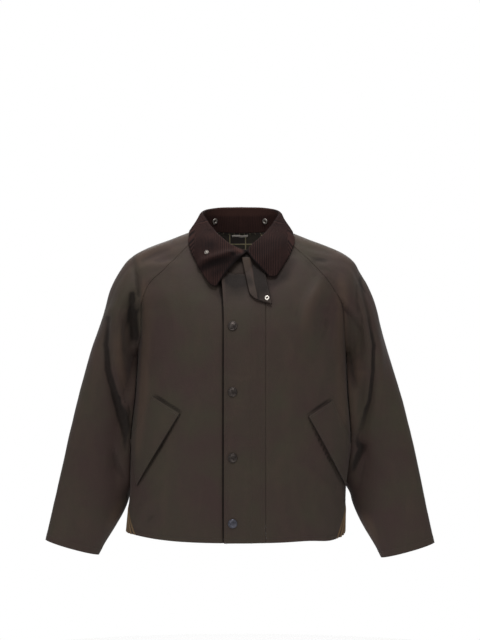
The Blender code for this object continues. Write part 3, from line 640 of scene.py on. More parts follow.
@dataclass(frozen=True)
class Drape:
    """Folds, creases and rumples of the whole jacket, as one smooth field over its form.

    Rumples and wrinkles have a depth and the size of their lumps. The sag has its place across, its width,
    its depth and how far it reaches up.
    """

    body: BodyForm = BodyForm()
    fade: float = 40.0
    seed: int = 7
    primes: tuple[int, int, int] = (73856093, 19349663, 83492791)
    # painted shade in the folds' hollows, scuffing and a painted highlight on their ridges, painted light on
    # cloth facing up
    fold_dark: float = 22.0
    fold_pale: float = 14.0
    top_pale: float = 0.34
    close: Span = (-205.0, -242.0)
    close_depth: Span = (35.0, 75.0)
    close_reach: Span = (4.0, 18.0)
    rumples: tuple[Span, Span] = ((0.9, 46.0), (0.45, 21.0))
    rumple_stretch: tuple[float, float, float] = (1.0, 1.0, 0.55)
    wrinkles: Span = (0.16, 30.0)
    wrinkle_stretch: tuple[float, float, float] = (0.7, 1.0, 1.0)
    shoulders: Span = (-40.0, -120.0)
    sag: tuple[float, float, float, float] = (190.0, 36.0, 8.0, 24.0)
    fronts: tuple[Crease, ...] = creases("""
        -5 19: -214 -70 -221 -235
        -4.5 21: 247 -90 238 -238
        3 20: -186 -95 -178 -225
        4 20: 166 -88 122 -200
        -3.5 18: 192 -120 160 -255
        -1.5 17: -258 -180 -236 -425
        3 22: -322 -250 -352 -520
        -2 18: 280 -215 266 -400
        -3 18: 250 -430 268 -545
        3 22: 330 -240 366 -510
        # right sleeve
        -4.5 6 0.4: -222 -46 -212 -84 -206 -124
        -8 8 0.2: -220 -122 -221 -150 -218 -190 -216 -222
        -8.5 8 0.3: -272 -170 -275 -225 -271 -277 -257 -334 -245 -380 -234 -421 -229 -456
        5.6 11 0 20: -251 -160 -250 -235 -244 -310
        4.8 6 0 10: -240 -352 -231 -380 -224 -406
        -5 10 0.3: -264 -446 -254 -480 -240 -508
        4.2 14 0.3: -300 -180 -296 -280 -304 -360
        -3.8 10 0.4: -262 -128 -290 -160 -302 -210
        -1.1 16 -0.4: -262 -340 -296 -372 -330 -384
        -1.2 18 0.4: -258 -420 -292 -450 -324 -470
        -1.4 20 0.4: -280 -500 -318 -560 -340 -630
        1.6 14 0.3: -336 -560 -352 -600 -356 -640
        # left sleeve
        -5.5 12 -0.2: 244 -74 243 -133 248 -200 252 -270
        -5.5 6 -0.3: 252 -90 266 -168 276 -225 274 -277 267 -339 251 -400 233 -431
        3.6 11 -0.2: 262 -96 282 -168 290 -235 288 -300 280 -360 264 -420
        -8 8 -0.3: 228 -420 252 -441 236 -480 224 -512
        -2 10: 256 -300 252 -360 244 -400
        -4.2 13 0.3: 300 -150 306 -250 318 -350
        -1.4 18 0.4: 262 -452 300 -500 320 -560
        -1 16 -0.4: 276 -390 312 -410 346 -420
        -1.2 18 -0.4: 300 -520 330 -560 350 -600
        1.6 14 -0.3: 330 -560 348 -600 352 -640
        2.9 9 -0.3: 244 -56 262 -66 276 -92
        # shoulders and chest
        -3 6 0.4: -204 -50 -176 -38 -148 -30
        2.6 7 0.5: -206 -66 -180 -58 -150 -54
        2.2 6: -196 -36 -172 -24 -150 -16
        -2 6 -0.4: -168 -60 -148 -50 -126 -46
        -2.4 6 0.5: 198 -40 172 -32 146 -26
        2.2 7 -0.5: 208 -66 182 -58 156 -58
        2.4 11 -0.6: 171 -82 132 -138 118 -207
        1.6 12 0.5: -160 -90 -132 -150 -120 -230
        -1.4 12 0.4: -195 -250 -170 -300 -150 -330
        -1.6 12 -0.4: 200 -252 178 -300 160 -345
        1.2 16 0.4: -90 -180 -82 -330 -96 -450
        1.2 15 -0.4: 100 -230 92 -380 104 -480
        # across the storm flap between its studs
        0.9 5 0.5: -26 -288 4 -293 44 -287
        0.8 5 -0.5: -22 -346 10 -352 48 -350
        0.7 5 0.5: -28 -398 2 -402 30 -396
        0.8 5 -0.4: -20 -430 14 -426 46 -433
        0.7 5 0.5: -26 -508 8 -513 40 -506
        # above the gathers and the hem
        2.6 9 0.5: -222 -596 -200 -560 -160 -530
        -1.6 10 0.4: -226 -574 -210 -532 -186 -500
        -1.1 10 0.4: -206 -612 -188 -580 -150 -560
        1.6 12 -0.4: -170 -615 -150 -560 -140 -500
        1.4 12 0.5: -95 -618 -88 -560 -80 -520
        3 11 -0.5: 212 -590 186 -520 130 -470
        -1.1 11 -0.4: 206 -606 176 -560 128 -530
        -1.3 10 -0.4: 214 -560 200 -505 176 -470
        1.6 12 0.4: 166 -616 150 -565 140 -505
        1.4 12 -0.5: 96 -618 88 -560 84 -515
    """)
    backs: tuple[Crease, ...] = creases("""
        -6 20: -212 -85 -218 -230
        -6 20: 226 -85 226 -230
        4 26: -150 -70 -165 -300
        4 26: 158 -75 150 -330
        3 30: -80 -180 -60 -560
        3.5 30: 70 -260 96 -600
        -3 26: -150 -380 -160 -610
        3.5 24: -300 -190 -338 -440
        3.5 24: 304 -200 344 -470
        2.2 11 0.5: -128 -60 -150 -130 -158 -260
        2.2 11 -0.5: 132 -62 150 -140 154 -270
        1.4 12 0.5: -60 -40 0 -58 62 -42
        -1.4 11 0.4: -190 -160 -120 -175 -70 -165
        -1.3 17 -0.4: 196 -180 130 -196 66 -180
        1.8 13 0.5: -120 -300 -105 -420 -112 -540
        1.8 13 -0.5: 128 -330 112 -440 120 -570
        -1.2 24 0.2: 10 -150 -8 -300 6 -450
        1.6 12 -0.4: -40 -470 -28 -560 -34 -618
        1.5 12 0.4: 44 -480 36 -560 40 -618
        2 11 0.5: -214 -590 -186 -540 -150 -510
        2 11 -0.5: 206 -590 184 -545 150 -515
        -2.2 9 0.5: -252 -300 -290 -322 -330 -318
        -2.6 10 -0.5: -252 -350 -296 -376 -342 -368
        -2 9 0.5: -258 -405 -304 -424 -350 -416
        -1.6 9 -0.4: -282 -480 -322 -496 -366 -490
        -1.5 9 0.4: -304 -560 -344 -572 -380 -566
        -2.2 9 -0.5: 256 -305 294 -328 334 -322
        -2.6 10 0.5: 254 -362 298 -384 346 -374
        -2 9 -0.5: 260 -420 308 -438 354 -428
        -1.6 9 0.4: 284 -492 326 -506 370 -500
        -1.5 9 -0.4: 308 -566 348 -580 386 -574
    """)
    # painted highlights on the right shoulder and the cuffs, painted shade on the left shoulder
    # painted light, above 0, and painted shade, below 0, laid along these lines on the cloth's colour
    # painted shade in the right sleeve's hollows and band, painted light on it and on the body beside it
    # painted shadows under the collar
    # painted shadows under the pocket flaps' free edges
    # the same painted shade and light on the left sleeve and the body beside it
    tones: tuple[Crease, ...] = creases("""
        # hollow, band and paler cloth of the right sleeve, and the body beside it
        -0.8 13: -221 -128 -223 -152 -220 -190 -216 -228
        -0.9 11: -272 -170 -275 -225 -271 -277 -256 -334 -243 -380 -233 -421 -229 -456
        -1 9: -238 -356 -236 -385 -230 -402
        0.6 12: -250 -214 -246 -265 -238 -318 -234 -335
        1.1 14 0 4: -201 -104 -199 -200 -202 -300 -208 -380 -214 -450
        # the same of the left sleeve
        -0.6 6: 252 -90 266 -168 276 -225 274 -277 267 -339 251 -400
        0.6 15: 244 -170 246 -240 244 -330 240 -400
        1.1 10 0 14: 206 -84 212 -150 214 -220 214 -300 214 -380
        -0.5 8: 228 -420 252 -441 236 -480 224 -512
        # under the pocket flaps' free edges
        -1 3.3: -121 -366 -210 -518
        -1.2 3.4: -118 -360 -176 -325
        -1.1 3.2: 136 -372 215 -523
        -1.2 3.2: 134 -366 187 -333
        # under the collar
        -0.4 13: -112 -24 -98 -60 -76 -100 -46 -122 -34 -132
        -1.25 20: -34 -92 26 -92
        -0.45 18: -30 -122 40 -128
        -0.75 15: 30 -100 62 -102 90 -84 108 -44
        # rubbed places
        0.45 12: -215 -52 -165 -32
        -0.62 24: 120 -48 205 -70
        0.75 12: -250 -560 -272 -606
        0.8 9: 262 -584 292 -650
    """)

    def noise(self, points: Array, scale: float, seed: int) -> Array:
        """Smooth noise from -1 to 1 over space.

        Args:
            points: places to read.
            scale: size of its lumps.
            seed: picks the pattern.

        Returns:
            One value per point.
        """
        table = np.random.default_rng(self.seed + seed).uniform(-1, 1, 4096)
        cell = np.floor(points / scale).astype(int)
        t = points / scale - cell
        t = t * t * (3 - 2 * t)
        total = np.zeros(points.shape[:-1])
        for corner in np.ndindex(2, 2, 2):
            key = (cell + np.array(corner)) * self.primes
            weight = np.prod(np.where(np.array(corner) == 1, t, 1 - t), axis=-1)
            total += table[(key[..., 0] ^ key[..., 1] ^ key[..., 2]) % len(table)] * weight
        return total

    def freedom(self, points: Array) -> Array:
        """How far points may move: 0 where a sleeve hangs close beside the body, 1 away from there.

        Args:
            points: places on the cloth.

        Returns:
            One share per point.
        """
        beside = smooth(points[..., 2], *self.close)
        around = smooth(np.abs(points[..., 1]), *self.close_depth)
        clear = smooth(self.body.clearance(points), *self.close_reach)
        return 1 - beside * (1 - np.maximum(around, clear))

    def lift(self, points: Array) -> Array:
        """Outward distance at each point.

        Args:
            points: places on the cloth.

        Returns:
            One distance per point.
        """
        ahead = smooth(points[..., 1], 14.0, -14.0)
        total = ahead * lifted(self.fronts, points) + (1 - ahead) * lifted(self.backs, points)
        stretched = points * self.rumple_stretch
        (broad, lump), (fine, grain) = self.rumples
        rumple = broad * self.noise(stretched, lump, 1) + fine * self.noise(stretched, grain, 2)
        depth, spacing = self.wrinkles
        wrinkle = depth * (1 - 2 * np.abs(self.noise(points * self.wrinkle_stretch, spacing, 3)))
        calm = 0.45 + 0.55 * smooth(points[..., 2], *self.shoulders)
        return (total + (rumple + wrinkle) * calm) * self.freedom(points)

    def tone(self, points: Array, normals: Array) -> Array:
        """Painted light and shade of the cloth, with scuffed fold ridges: paler above 0, darker below 0.

        Args:
            points: places on the cloth.
            normals: outward directions there.

        Returns:
            One value per point.
        """
        ahead = smooth(points[..., 1], 40.0, 14.0)
        folds = lifted(self.fronts, points) * ahead + lifted(self.backs, points) * (1 - ahead)
        # painted shade in the folds' hollows; their ridges paler with scuffing and a painted highlight
        total = np.minimum(folds, 0.0) / self.fold_dark + np.clip(folds - 2.0, 0.0, 4.0) / self.fold_pale
        # painted light on cloth that faces up
        total += self.top_pale * smooth(normals[..., 2], 0.3, 0.85)
        # the painted lines of light and shade, on the front only
        return total + ahead * lifted(self.tones, points)

    def settled(self, points: Array) -> Array:
        """Points moved down where the left front's hem sags beside its gusset.

        Args:
            points: places on the cloth.

        Returns:
            The moved points.
        """
        at, width, depth, above = self.sag
        x, y, z = points[..., 0], points[..., 1], points[..., 2]
        low = within((self.body.hem_side + above - z) / above)
        near = bell((x - at) / width) * (y < 0) * (x < self.body.chest_left)
        moved = points.copy()
        moved[..., 2] -= depth * low * near * within(np.abs(y) / self.fade)
        return moved


# ---------------------------------------------------------------- cloth shells


@dataclass
class Shell:
    """A piece of cloth as a grid of outer points with its outward directions and the seams at its edges."""

    name: str
    points: Array
    outward: tuple[float, float, float]
    seams: tuple[str, ...] = ("top", "bottom", "start", "end")
    # how dark the painted shade in the cloth's hollows may get
    hollow: float = 0.7
    normals: Array = field(init=False)
    raised: Array = field(init=False)
    # paleness laid on the cloth from scuffing and painted light and shade
    worn: Array = field(init=False)
    cut: tuple[float, float, float] = field(init=False)

    def __post_init__(self) -> None:
        """Works out the outward directions and the size of the flat cut."""
        self.normals = self.directions()
        self.cut = measured(self.points)
        self.clear()

    def clear(self) -> None:
        """Takes away what is raised, and the scuffing and painted light and shade laid on."""
        self.raised, self.worn = np.zeros((2, *self.points.shape[:2]))

    def directions(self) -> Array:
        """Outward directions at the grid's points.

        Returns:
            One unit vector per point.
        """
        found = unit(np.cross(np.gradient(self.points, axis=1), np.gradient(self.points, axis=0)))
        middle = found[found.shape[0] // 2, found.shape[1] // 2]
        return found if middle @ np.array(self.outward) > 0 else -found

    def edge_runs(self) -> dict[str, Array]:
        """Distance of every point from each of the four edges.

        Returns:
            A grid of distances under each edge's name.
        """
        down, over = gaps(self.points), gaps(self.points, 1)
        rows, columns = self.points.shape[:2]
        top = np.vstack((np.zeros((1, columns)), np.cumsum(down, axis=0)))
        start = np.hstack((np.zeros((rows, 1)), np.cumsum(over, axis=1)))
        return {"top": top, "bottom": top[-1] - top, "start": start, "end": start[:, -1:] - start}

    def densify(self, distances: Sequence[float] = (1.2, 3.0)) -> None:
        """Adds lines of points close beside the edges, so that a seam's edge can turn in.

        Args:
            distances: distances of the new lines from an edge.
        """
        for axis in (0, 1):
            count = self.points.shape[axis]
            steps = gaps(self.points, axis)
            first, last = (np.median(np.take(steps, end, axis)) for end in (0, -1))
            places = [d / first for d in distances if d < 0.9 * first]
            places += [count - 1 - d / last for d in distances if d < 0.9 * last]
            places = np.sort(np.concatenate((np.arange(count, dtype=float), places)))
            low = np.minimum(places.astype(int), count - 2)
            share = (places - low).reshape((1, -1, 1) if axis else (-1, 1, 1))
            for name in ("points", "normals"):
                grid = getattr(self, name)
                grid = np.take(grid, low, axis) * (1 - share) + np.take(grid, low + 1, axis) * share
                setattr(self, name, unit(grid) if name == "normals" else grid)
        self.clear()

    def turn_in(self, gap: float = 0.03, drop: float = 0.9, reach: float = 2.6) -> None:
        """Rounds the seamed edges down and moves them in by half the seam's gap.

        Args:
            gap: how far the edge moves in.
            drop: how far the edge turns down.
            reach: width of the rounding.
        """
        runs = self.edge_runs()
        for name in self.seams:
            self.raised -= drop * within(1 - runs[name] / reach) ** 2
            first, second = (0, 1) if name in ("top", "start") else (-1, -2)
            lines = self.points if name in ("top", "bottom") else self.points.swapaxes(0, 1)
            lines[first] += unit(lines[second] - lines[first]) * gap

    def band(self, edge: str, width: float, level: float) -> None:
        """Raises a turned band of cloth along an edge."""
        self.raised += level * smooth(self.edge_runs()[edge], width + 1.0, width - 1.0)

    def outer(self) -> Array:
        """Outer points with what is raised on them."""
        return self.points + self.normals * self.raised[..., None]

    def path(self, edge: str, inset: float, span: Span = (0.0, 1.0), lift: float = 0.15) -> Array:
        """Line on the outer side at an even distance from an edge.

        Args:
            edge: top, bottom, start or end.
            inset: distance from the edge.
            span: share of the edge's length that the line covers.
            lift: height above the cloth.

        Returns:
            Points along the line.
        """
        grid = self.outer() + self.normals * lift
        grid = grid if edge in ("top", "bottom") else grid.transpose(1, 0, 2)
        grid = grid if edge in ("top", "start") else grid[::-1]
        border, away = grid[0], []
        for row in grid:
            nearest = np.full(len(row), np.inf)
            for shift in range(-6, 7):
                near = np.clip(np.arange(len(row)) + shift, 0, len(row) - 2)
                run, off = border[near + 1] - border[near], row - border[near]
                share = within((off * run).sum(1) / np.maximum((run * run).sum(1), 1e-9))
                nearest = np.minimum(nearest, np.linalg.norm(off - run * share[:, None], axis=1))
            away.append(nearest)
            if len(away) > 1 and nearest.min() > inset * 1.6:
                break
        line = []
        reached = np.maximum.accumulate(away)
        first, last = (share * (len(border) - 1) for share in span)
        for c in range(int(first), int(round(last)) + 1):
            column = reached[:, c]
            if column[-1] < inset:
                continue
            k = int(np.searchsorted(column, inset))
            low = max(k - 1, 0)
            share = (inset - column[low]) / max(column[k] - column[low], 1e-6) if k else 0.0
            line.append(grid[low, c] * (1 - share) + grid[k, c] * share)
        return np.array(line)


def placed(name: str, data: bpy.types.ID) -> bpy.types.Object:
    """New object at the origin, in the scene's collection.

    Args:
        name: name of the object.
        data: its mesh, curve, camera or light.

    Returns:
        The object.
    """
    piece = bpy.data.objects.new(name, data)
    bpy.context.scene.collection.objects.link(piece)
    return piece


def declare(piece: bpy.types.Object, slot: str, *nodes: str) -> None:
    """Makes a piece ride on the body and stand for its solids.

    Args:
        piece: the object.
        slot: the record's material slot; not used.
        nodes: solids that it stands for.
    """
    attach(piece, "root")
    if nodes:
        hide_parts(*nodes)
    log.info("%s: %d faces", piece.name, len(piece.data.polygons))


def wall(
    name: str,
    outer: Array,
    inner: Array,
    materials: Sequence[Material],
    wear: Array | float = 0.0,
    uv: Array | None = None,
    under: Array | float = 0.0,
) -> bpy.types.Object:
    """Closed cloth wall between an outer and an inner grid.

    Args:
        name: name of the piece.
        outer: outer grid in millimetres.
        inner: inner grid of the same shape.
        materials: finish of the outside, then of the inside where it differs.
        wear: pattern, scuffing and painted light and shade of each outer point, -1 to 1.
        uv: place of each grid point on the flat cloth, in metres.
        under: how pale the inner side is painted; below 0 it is painted shade.

    Returns:
        The new object, at the origin.
    """
    shape = outer.shape[:2]
    vertices = np.concatenate((outer.reshape(-1, 3), inner.reshape(-1, 3))) * MM
    out, back = np.arange(2 * shape[0] * shape[1]).reshape(2, *shape)
    quads = [np.stack([out[:-1, :-1], out[:-1, 1:], out[1:, 1:], out[1:, :-1]], -1).reshape(-1, 4)]
    quads.append(np.stack([back[:-1, :-1], back[1:, :-1], back[1:, 1:], back[:-1, 1:]], -1).reshape(-1, 4))
    along, against = slice(None), slice(None, None, -1)
    for edge in ((0, along), (-1, against), (against, 0), (along, -1)):
        a, b = out[edge], back[edge]
        quads.append(np.stack([a[1:], a[:-1], b[:-1], b[1:]], -1))
    faces = np.concatenate(quads)
    corners = vertices[faces]
    halves = (np.cross(corners[:, k], corners[:, k + 1]) for k in (1, 2))
    if sum(np.einsum("ij,ij->", corners[:, 0], half) for half in halves) < 0:
        faces = faces[:, ::-1]
    mesh = bpy.data.meshes.new(name)
    mesh.from_pydata(vertices.tolist(), [], faces.tolist())
    for material in materials:
        mesh.materials.append(material)
    index = np.zeros(len(faces), int)
    if len(materials) > 1:
        index[len(quads[0]) : len(quads[0]) + len(quads[1])] = 1
    mesh.polygons.foreach_set("material_index", index)
    mesh.polygons.foreach_set("use_smooth", np.ones(len(faces), bool))
    value = np.concatenate([np.broadcast_to(side, shape).ravel() for side in (wear, under)])
    # an attribute of pattern, scuffing and painted light and shade, which the finishes read
    mesh.attributes.new("wear", "FLOAT", "POINT").data.foreach_set("value", value)
    if uv is not None:
        loops = np.zeros(len(mesh.loops), int)
        mesh.loops.foreach_get("vertex_index", loops)
        both = np.concatenate((uv.reshape(-1, 2), uv.reshape(-1, 2)))
        mesh.uv_layers.new(name="cloth").data.foreach_set("uv", both[loops].ravel())
    mesh.set_sharp_from_angle(angle=math.radians(62))
    return placed(name, mesh)


@dataclass
class Tailor:
    """Drapes shells by one field of folds and sews them."""

    drape: Drape
    level_span: float = 0.7
    proud: float = 0.22
    palest: float = 0.6

    def share_normals(self, shells: Sequence[Shell]) -> None:
        """Gives the points that shells share one common outward direction.

        Args:
            shells: shells that share seams.
        """
        keys = [np.round(shell.points.reshape(-1, 3), 2) for shell in shells]
        _, inverse = np.unique(np.concatenate(keys), axis=0, return_inverse=True)
        inverse = inverse.ravel()
        total = np.zeros((inverse.max() + 1, 3))
        np.add.at(total, inverse, np.concatenate([shell.normals.reshape(-1, 3) for shell in shells]))
        shared = np.split(unit(total)[inverse], np.cumsum([len(key) for key in keys])[:-1])
        for shell, normals in zip(shells, shared):
            shell.normals = normals.reshape(shell.normals.shape)

    def drape_on(self, shells: Sequence[Shell]) -> None:
        """Moves shells by the drape's folds and works out their directions again.

        Args:
            shells: shells that share seams.
        """
        for shell in shells:
            lift = self.drape.lift(shell.points)
            shell.points = self.drape.settled(shell.points) + shell.normals * lift[..., None]
            shell.normals = shell.directions()
        self.share_normals(shells)

    def sew(
        self, shell: Shell, thickness: float, materials: Sequence[Material], node: str, under: float = 0.0
    ) -> None:
        """Makes a shell's wall of waxed cotton and lets it stand for its solid.

        Args:
            shell: the finished shell.
            thickness: thickness of the cloth.
            materials: finish of the outside, then of the inside.
            node: the solid that the piece stands for.
            under: how pale its inner side is painted; below 0 it is painted shade.
        """
        # the drape's painted light and shade and the scuffing of fold ridges, held below the palest
        shell.worn = shell.worn + np.minimum(self.drape.tone(shell.points, shell.normals), self.palest)
        down, over = running(gaps(shell.points).mean(1)), running(gaps(shell.points, 1).mean(0))
        uv = np.stack(np.meshgrid(over, down), axis=-1) * MM
        inner = shell.points - shell.normals * thickness
        piece = wall(shell.name, shell.outer(), inner, materials, self.curvature(shell), uv, under)
        declare(piece, "waxed_cotton", node)

    def curvature(self, shell: Shell) -> Array:
        """How pale each point is painted, from -1 to 1: painted shade in the cloth's hollows, paler scuffing
        on edges that stand proud, and what the shell already has laid on.

        Args:
            shell: the shell.

        Returns:
            One value per point.
        """
        outer = shell.outer()
        mean = outer.copy()
        for _ in range(3):
            padded = np.pad(mean, ((1, 1), (1, 1), (0, 0)), mode="edge")
            mean = (padded[:-2, 1:-1] + padded[2:, 1:-1] + padded[1:-1, :-2] + padded[1:-1, 2:]) / 4
        level = ((outer - mean) * shell.normals).sum(-1)
        level[[0, -1]] = level[[1, -2]]
        level[:, [0, -1]] = level[:, [1, -2]]
        # hollows of the cloth get painted shade, proud edges paler scuffing
        return np.clip(np.clip(level / self.level_span, -shell.hollow, self.proud) + shell.worn, -1, 1)


# ---------------------------------------------------------------- shader helpers and finishes


class Value:
    """A shader socket that sums, scales and compares like a number."""

    def __init__(self, graph: "Graph", socket: bpy.types.NodeSocket) -> None:
        """Wraps a socket of a graph."""
        self.graph = graph
        self.socket = socket

    def _math(self, operation: str, *values: "Value | float") -> "Value":
        """Adds a Math node of this value and others."""
        return self.graph.node("ShaderNodeMath", {"operation": operation}, (self, *values))

    __add__ = __radd__ = partialmethod(_math, "ADD")
    __sub__ = partialmethod(_math, "SUBTRACT")
    __mul__ = __rmul__ = partialmethod(_math, "MULTIPLY")
    __truediv__ = partialmethod(_math, "DIVIDE")
    __lt__ = partialmethod(_math, "LESS_THAN")
    __abs__ = partialmethod(_math, "ABSOLUTE")
    fraction = partialmethod(_math, "FRACT")
    sine = partialmethod(_math, "SINE")
    most = partialmethod(_math, "MAXIMUM")

    def __rsub__(self, other: float) -> "Value":
        """Difference from a number."""
        return self * -1.0 + other

    def clamp(self) -> "Value":
        """Held between 0 and 1."""
        return self.graph.node("ShaderNodeClamp", {}, [self])


class Graph:
    """A material's nodes, made one call at a time."""

    def __init__(self, name: str) -> None:
        """Starts a material of a name with a Principled shader.

        Args:
            name: name of the material.
        """
        self.material = bpy.data.materials.new(name)
        self.material.use_nodes = True
        self.tree = self.material.node_tree
        self.shader = self.tree.nodes["Principled BSDF"]

    def node(
        self,
        kind: str,
        settings: dict[str, object],
        values: "Sequence[Value | float] | dict[str | int, object]" = (),
        output: int | str = 0,
    ) -> Value:
        """Adds a node.

        Args:
            kind: type of the node.
            settings: its own settings, set first.
            values: links or numbers for its sockets, in order or by name.
            output: which of its outputs is returned.

        Returns:
            The output, wrapped.
        """
        node = self.tree.nodes.new(kind)
        for key, setting in settings.items():
            setattr(node, key, setting)
        for key, value in values.items() if isinstance(values, dict) else enumerate(values):
            self.put(node.inputs[key], value)
        return Value(self, node.outputs[output])

    def put(self, socket: bpy.types.NodeSocket, value: object) -> None:
        """Links a wrapped output to a socket, or sets its number or colour.

        Args:
            socket: the input.
            value: an output, a number or a colour.
        """
        if isinstance(value, Value):
            self.tree.links.new(value.socket, socket)
        else:
            socket.default_value = value

    def set(self, **values: object) -> Material:
        """Sets the shader's sockets, with spaces written as underscores, and returns the material.

        Args:
            values: what each of its sockets gets.

        Returns:
            The material.
        """
        for key, value in values.items():
            self.put(self.shader.inputs[key.replace("_", " ")], value)
        return self.material

    def place(self) -> Value:
        """Object coordinates in metres."""
        return self.node("ShaderNodeTexCoord", {}, (), "Object")

    def flat(self) -> tuple[Value, Value]:
        """Place on the flat cloth, across and along, in metres.

        Returns:
            Both, wrapped.
        """
        uv = self.node("ShaderNodeUVMap", {"uv_map": "cloth"})
        split = self.node("ShaderNodeSeparateXYZ", {}, [uv])
        return split, Value(self, split.socket.node.outputs[1])

    def wear(self) -> Value:
        """The piece's own attribute of pattern, scuffing and painted light and shade."""
        return self.node("ShaderNodeAttribute", {"attribute_name": "wear"}, (), "Fac")

    def noise(self, place: Value, scale: float, detail: float = 3.0, rough: float = 0.55) -> Value:
        """Noise from 0 to 1 over a place."""
        values = {"Vector": place, "Scale": scale, "Detail": detail, "Roughness": rough}
        return self.node("ShaderNodeTexNoise", {"noise_dimensions": "3D"}, values, "Fac")

    def stretched(self, place: Value, scale: tuple[float, float, float]) -> Value:
        """A place with its axes scaled."""
        return self.node("ShaderNodeMapping", {}, {"Vector": place, "Scale": scale})

    def mix(self, share: "Value | float", one: object, two: object) -> Value:
        """Colour between two colours."""
        return self.node("ShaderNodeMix", {"data_type": "RGBA"}, {0: share, 6: one, 7: two}, 2)

    def bump(self, height: Value, distance: float, strength: float = 1.0, **normal: Value) -> Value:
        """Bumped normal, over another where one is given."""
        values = {"Height": height, "Distance": distance, "Strength": strength, **normal}
        return self.node("ShaderNodeBump", {}, values)


def rgb(red: float, green: float, blue: float) -> Colour:
    """Linear colour from screen values of 0 to 255.

    Args:
        red: red part.
        green: green part.
        blue: blue part.

    Returns:
        The three parts, from 0 to 1, and 1 for the opacity.
    """
    parts = [v / 255 for v in (red, green, blue)]
    linear = [v / 12.92 if v <= 0.04045 else ((v + 0.055) / 1.055) ** 2.4 for v in parts]
    return (*linear, 1.0)


@dataclass(frozen=True)
class WaxedCotton:
    """Dark olive-brown waxed cotton: mottled wax, paler scuffed edges, painted light and shade, and a soft
    sheen.
    """

    ground: Colour = rgb(58, 46, 43)
    olive: Colour = rgb(57, 52, 43)
    # paler colour of streaks, grain and scuffing, and also of the painted light laid on
    rubbed: Colour = rgb(74, 60, 51)
    # deep: colour of the painted shade in hollows, under the flaps and collar and beside the storm flap
    deep: Colour = rgb(22, 17, 15)
    # tan of the gussets, strongest on their pleats' crests as a painted highlight
    tan: Colour = rgb(104, 84, 60)
    weave_pitch: float = 5200.0
    roughness: float = 0.56

    def material(self) -> Material:
        """Builds the finish.

        Returns:
            The material.
        """
        g = Graph("waxed_cotton")
        place = g.place()
        cloud = g.noise(place, 9.0, 4.0, 0.6)
        streak = g.noise(g.stretched(place, (1.0, 1.0, 0.35)), 34.0, 3.0)
        grain = g.noise(place, 420.0, 2.0, 0.6)
        wear = g.wear()
        colour = g.mix(((cloud - 0.36) * 3.2).clamp(), self.ground, self.olive)
        # above 0 paler with scuffing and painted light, tan at the gussets' crests as a painted highlight
        # below 0 the deep colour, which is painted shade
        for share, tint in (
            (((streak - 0.5) * 2.6).clamp() * 0.3, self.rubbed),
            (((wear - 0.16) * 1.5).clamp() * 0.7, self.rubbed),
            (((wear - 0.86) * 8.0).clamp() * (streak * 0.7 + 0.4).clamp(), self.tan),
            (((wear * -1.0 - 0.24) * 1.6).clamp() * 0.85, self.deep),
            (((grain - 0.5) * 1.6).clamp() * 0.28, self.rubbed),
        ):
            colour = g.mix(share, colour, tint)
        across, along = ((way * self.weave_pitch).sine() * 0.5 for way in g.flat())
        fine = g.bump((across + along) * 0.5 + grain, 0.00018, 0.6)
        return g.set(
            Base_Color=colour,
            Roughness=self.roughness + (streak - 0.5) * 0.25 + (cloud - 0.5) * 0.2,
            Normal=g.bump(g.noise(place, 130.0, 3.0), 0.0006, 0.5, Normal=fine),
            Sheen_Weight=0.03,
            Sheen_Roughness=0.5,
            Specular_IOR_Level=0.1,
        )


@dataclass(frozen=True)
class Corduroy:
    """Dark red-brown corduroy: pile paler on the wales, nearly black between, with painted light and shade."""

    pile: Colour = rgb(33, 20, 19)
    tip: Colour = rgb(55, 36, 32)
    groove: Colour = rgb(12, 7, 7)
    sheen: Colour = rgb(150, 112, 96)

    def material(self) -> Material:
        """Builds the finish.

        Returns:
            The material.
        """
        g = Graph("corduroy")
        place = g.place()
        wear = g.wear()
        fuzz = g.noise(place, 900.0, 2.0, 0.7)
        brushed = g.noise(place, 45.0, 3.0)
        # the groove colour also stands for painted shade, and the tip colour for painted light
        colour = g.mix((wear * 0.5 + 0.5).clamp(), self.groove, self.pile)
        return g.set(
            Base_Color=g.mix((wear * (fuzz * 0.6 + brushed * 0.9) * 0.8).clamp(), colour, self.tip),
            Roughness=0.86 + (fuzz - 0.5) * 0.15,
            Normal=g.bump(fuzz, 0.0005, 0.7),
            Sheen_Weight=0.06,
            Sheen_Roughness=0.4,
            Sheen_Tint=self.sheen,
            Specular_IOR_Level=0.1,
        )


@dataclass(frozen=True)
class CheckLining:
    """Brushed cotton lining with a plain windowpane check."""

    ground: Colour = rgb(62, 55, 40)
    shade: Colour = rgb(48, 40, 37)
    line: Colour = rgb(176, 164, 128)
    pane: float = 0.034
    thread: float = 0.0022

    def material(self) -> Material:
        """Builds the finish.

        Returns:
            The material.
        """
        g = Graph("check_lining")
        lines, broad = [], []
        for run in g.flat():
            lines.append(abs((run / self.pane + 0.5).fraction() - 0.5) < self.thread / self.pane / 2)
            broad.append(((run / (2 * self.pane)).fraction() < 0.5) * 0.5)
        fibre = g.noise(g.place(), 700.0, 2.0, 0.7)
        colour = g.mix(broad[0] + broad[1], self.ground, self.shade)
        return g.set(
            Base_Color=g.mix(lines[0].most(lines[1]) * (fibre * 0.5 + 0.5), colour, self.line),
            Roughness=0.88 + (fibre - 0.5) * 0.1,
            Normal=g.bump(fibre, 0.0004, 0.6),
            Sheen_Weight=0.2,
        )


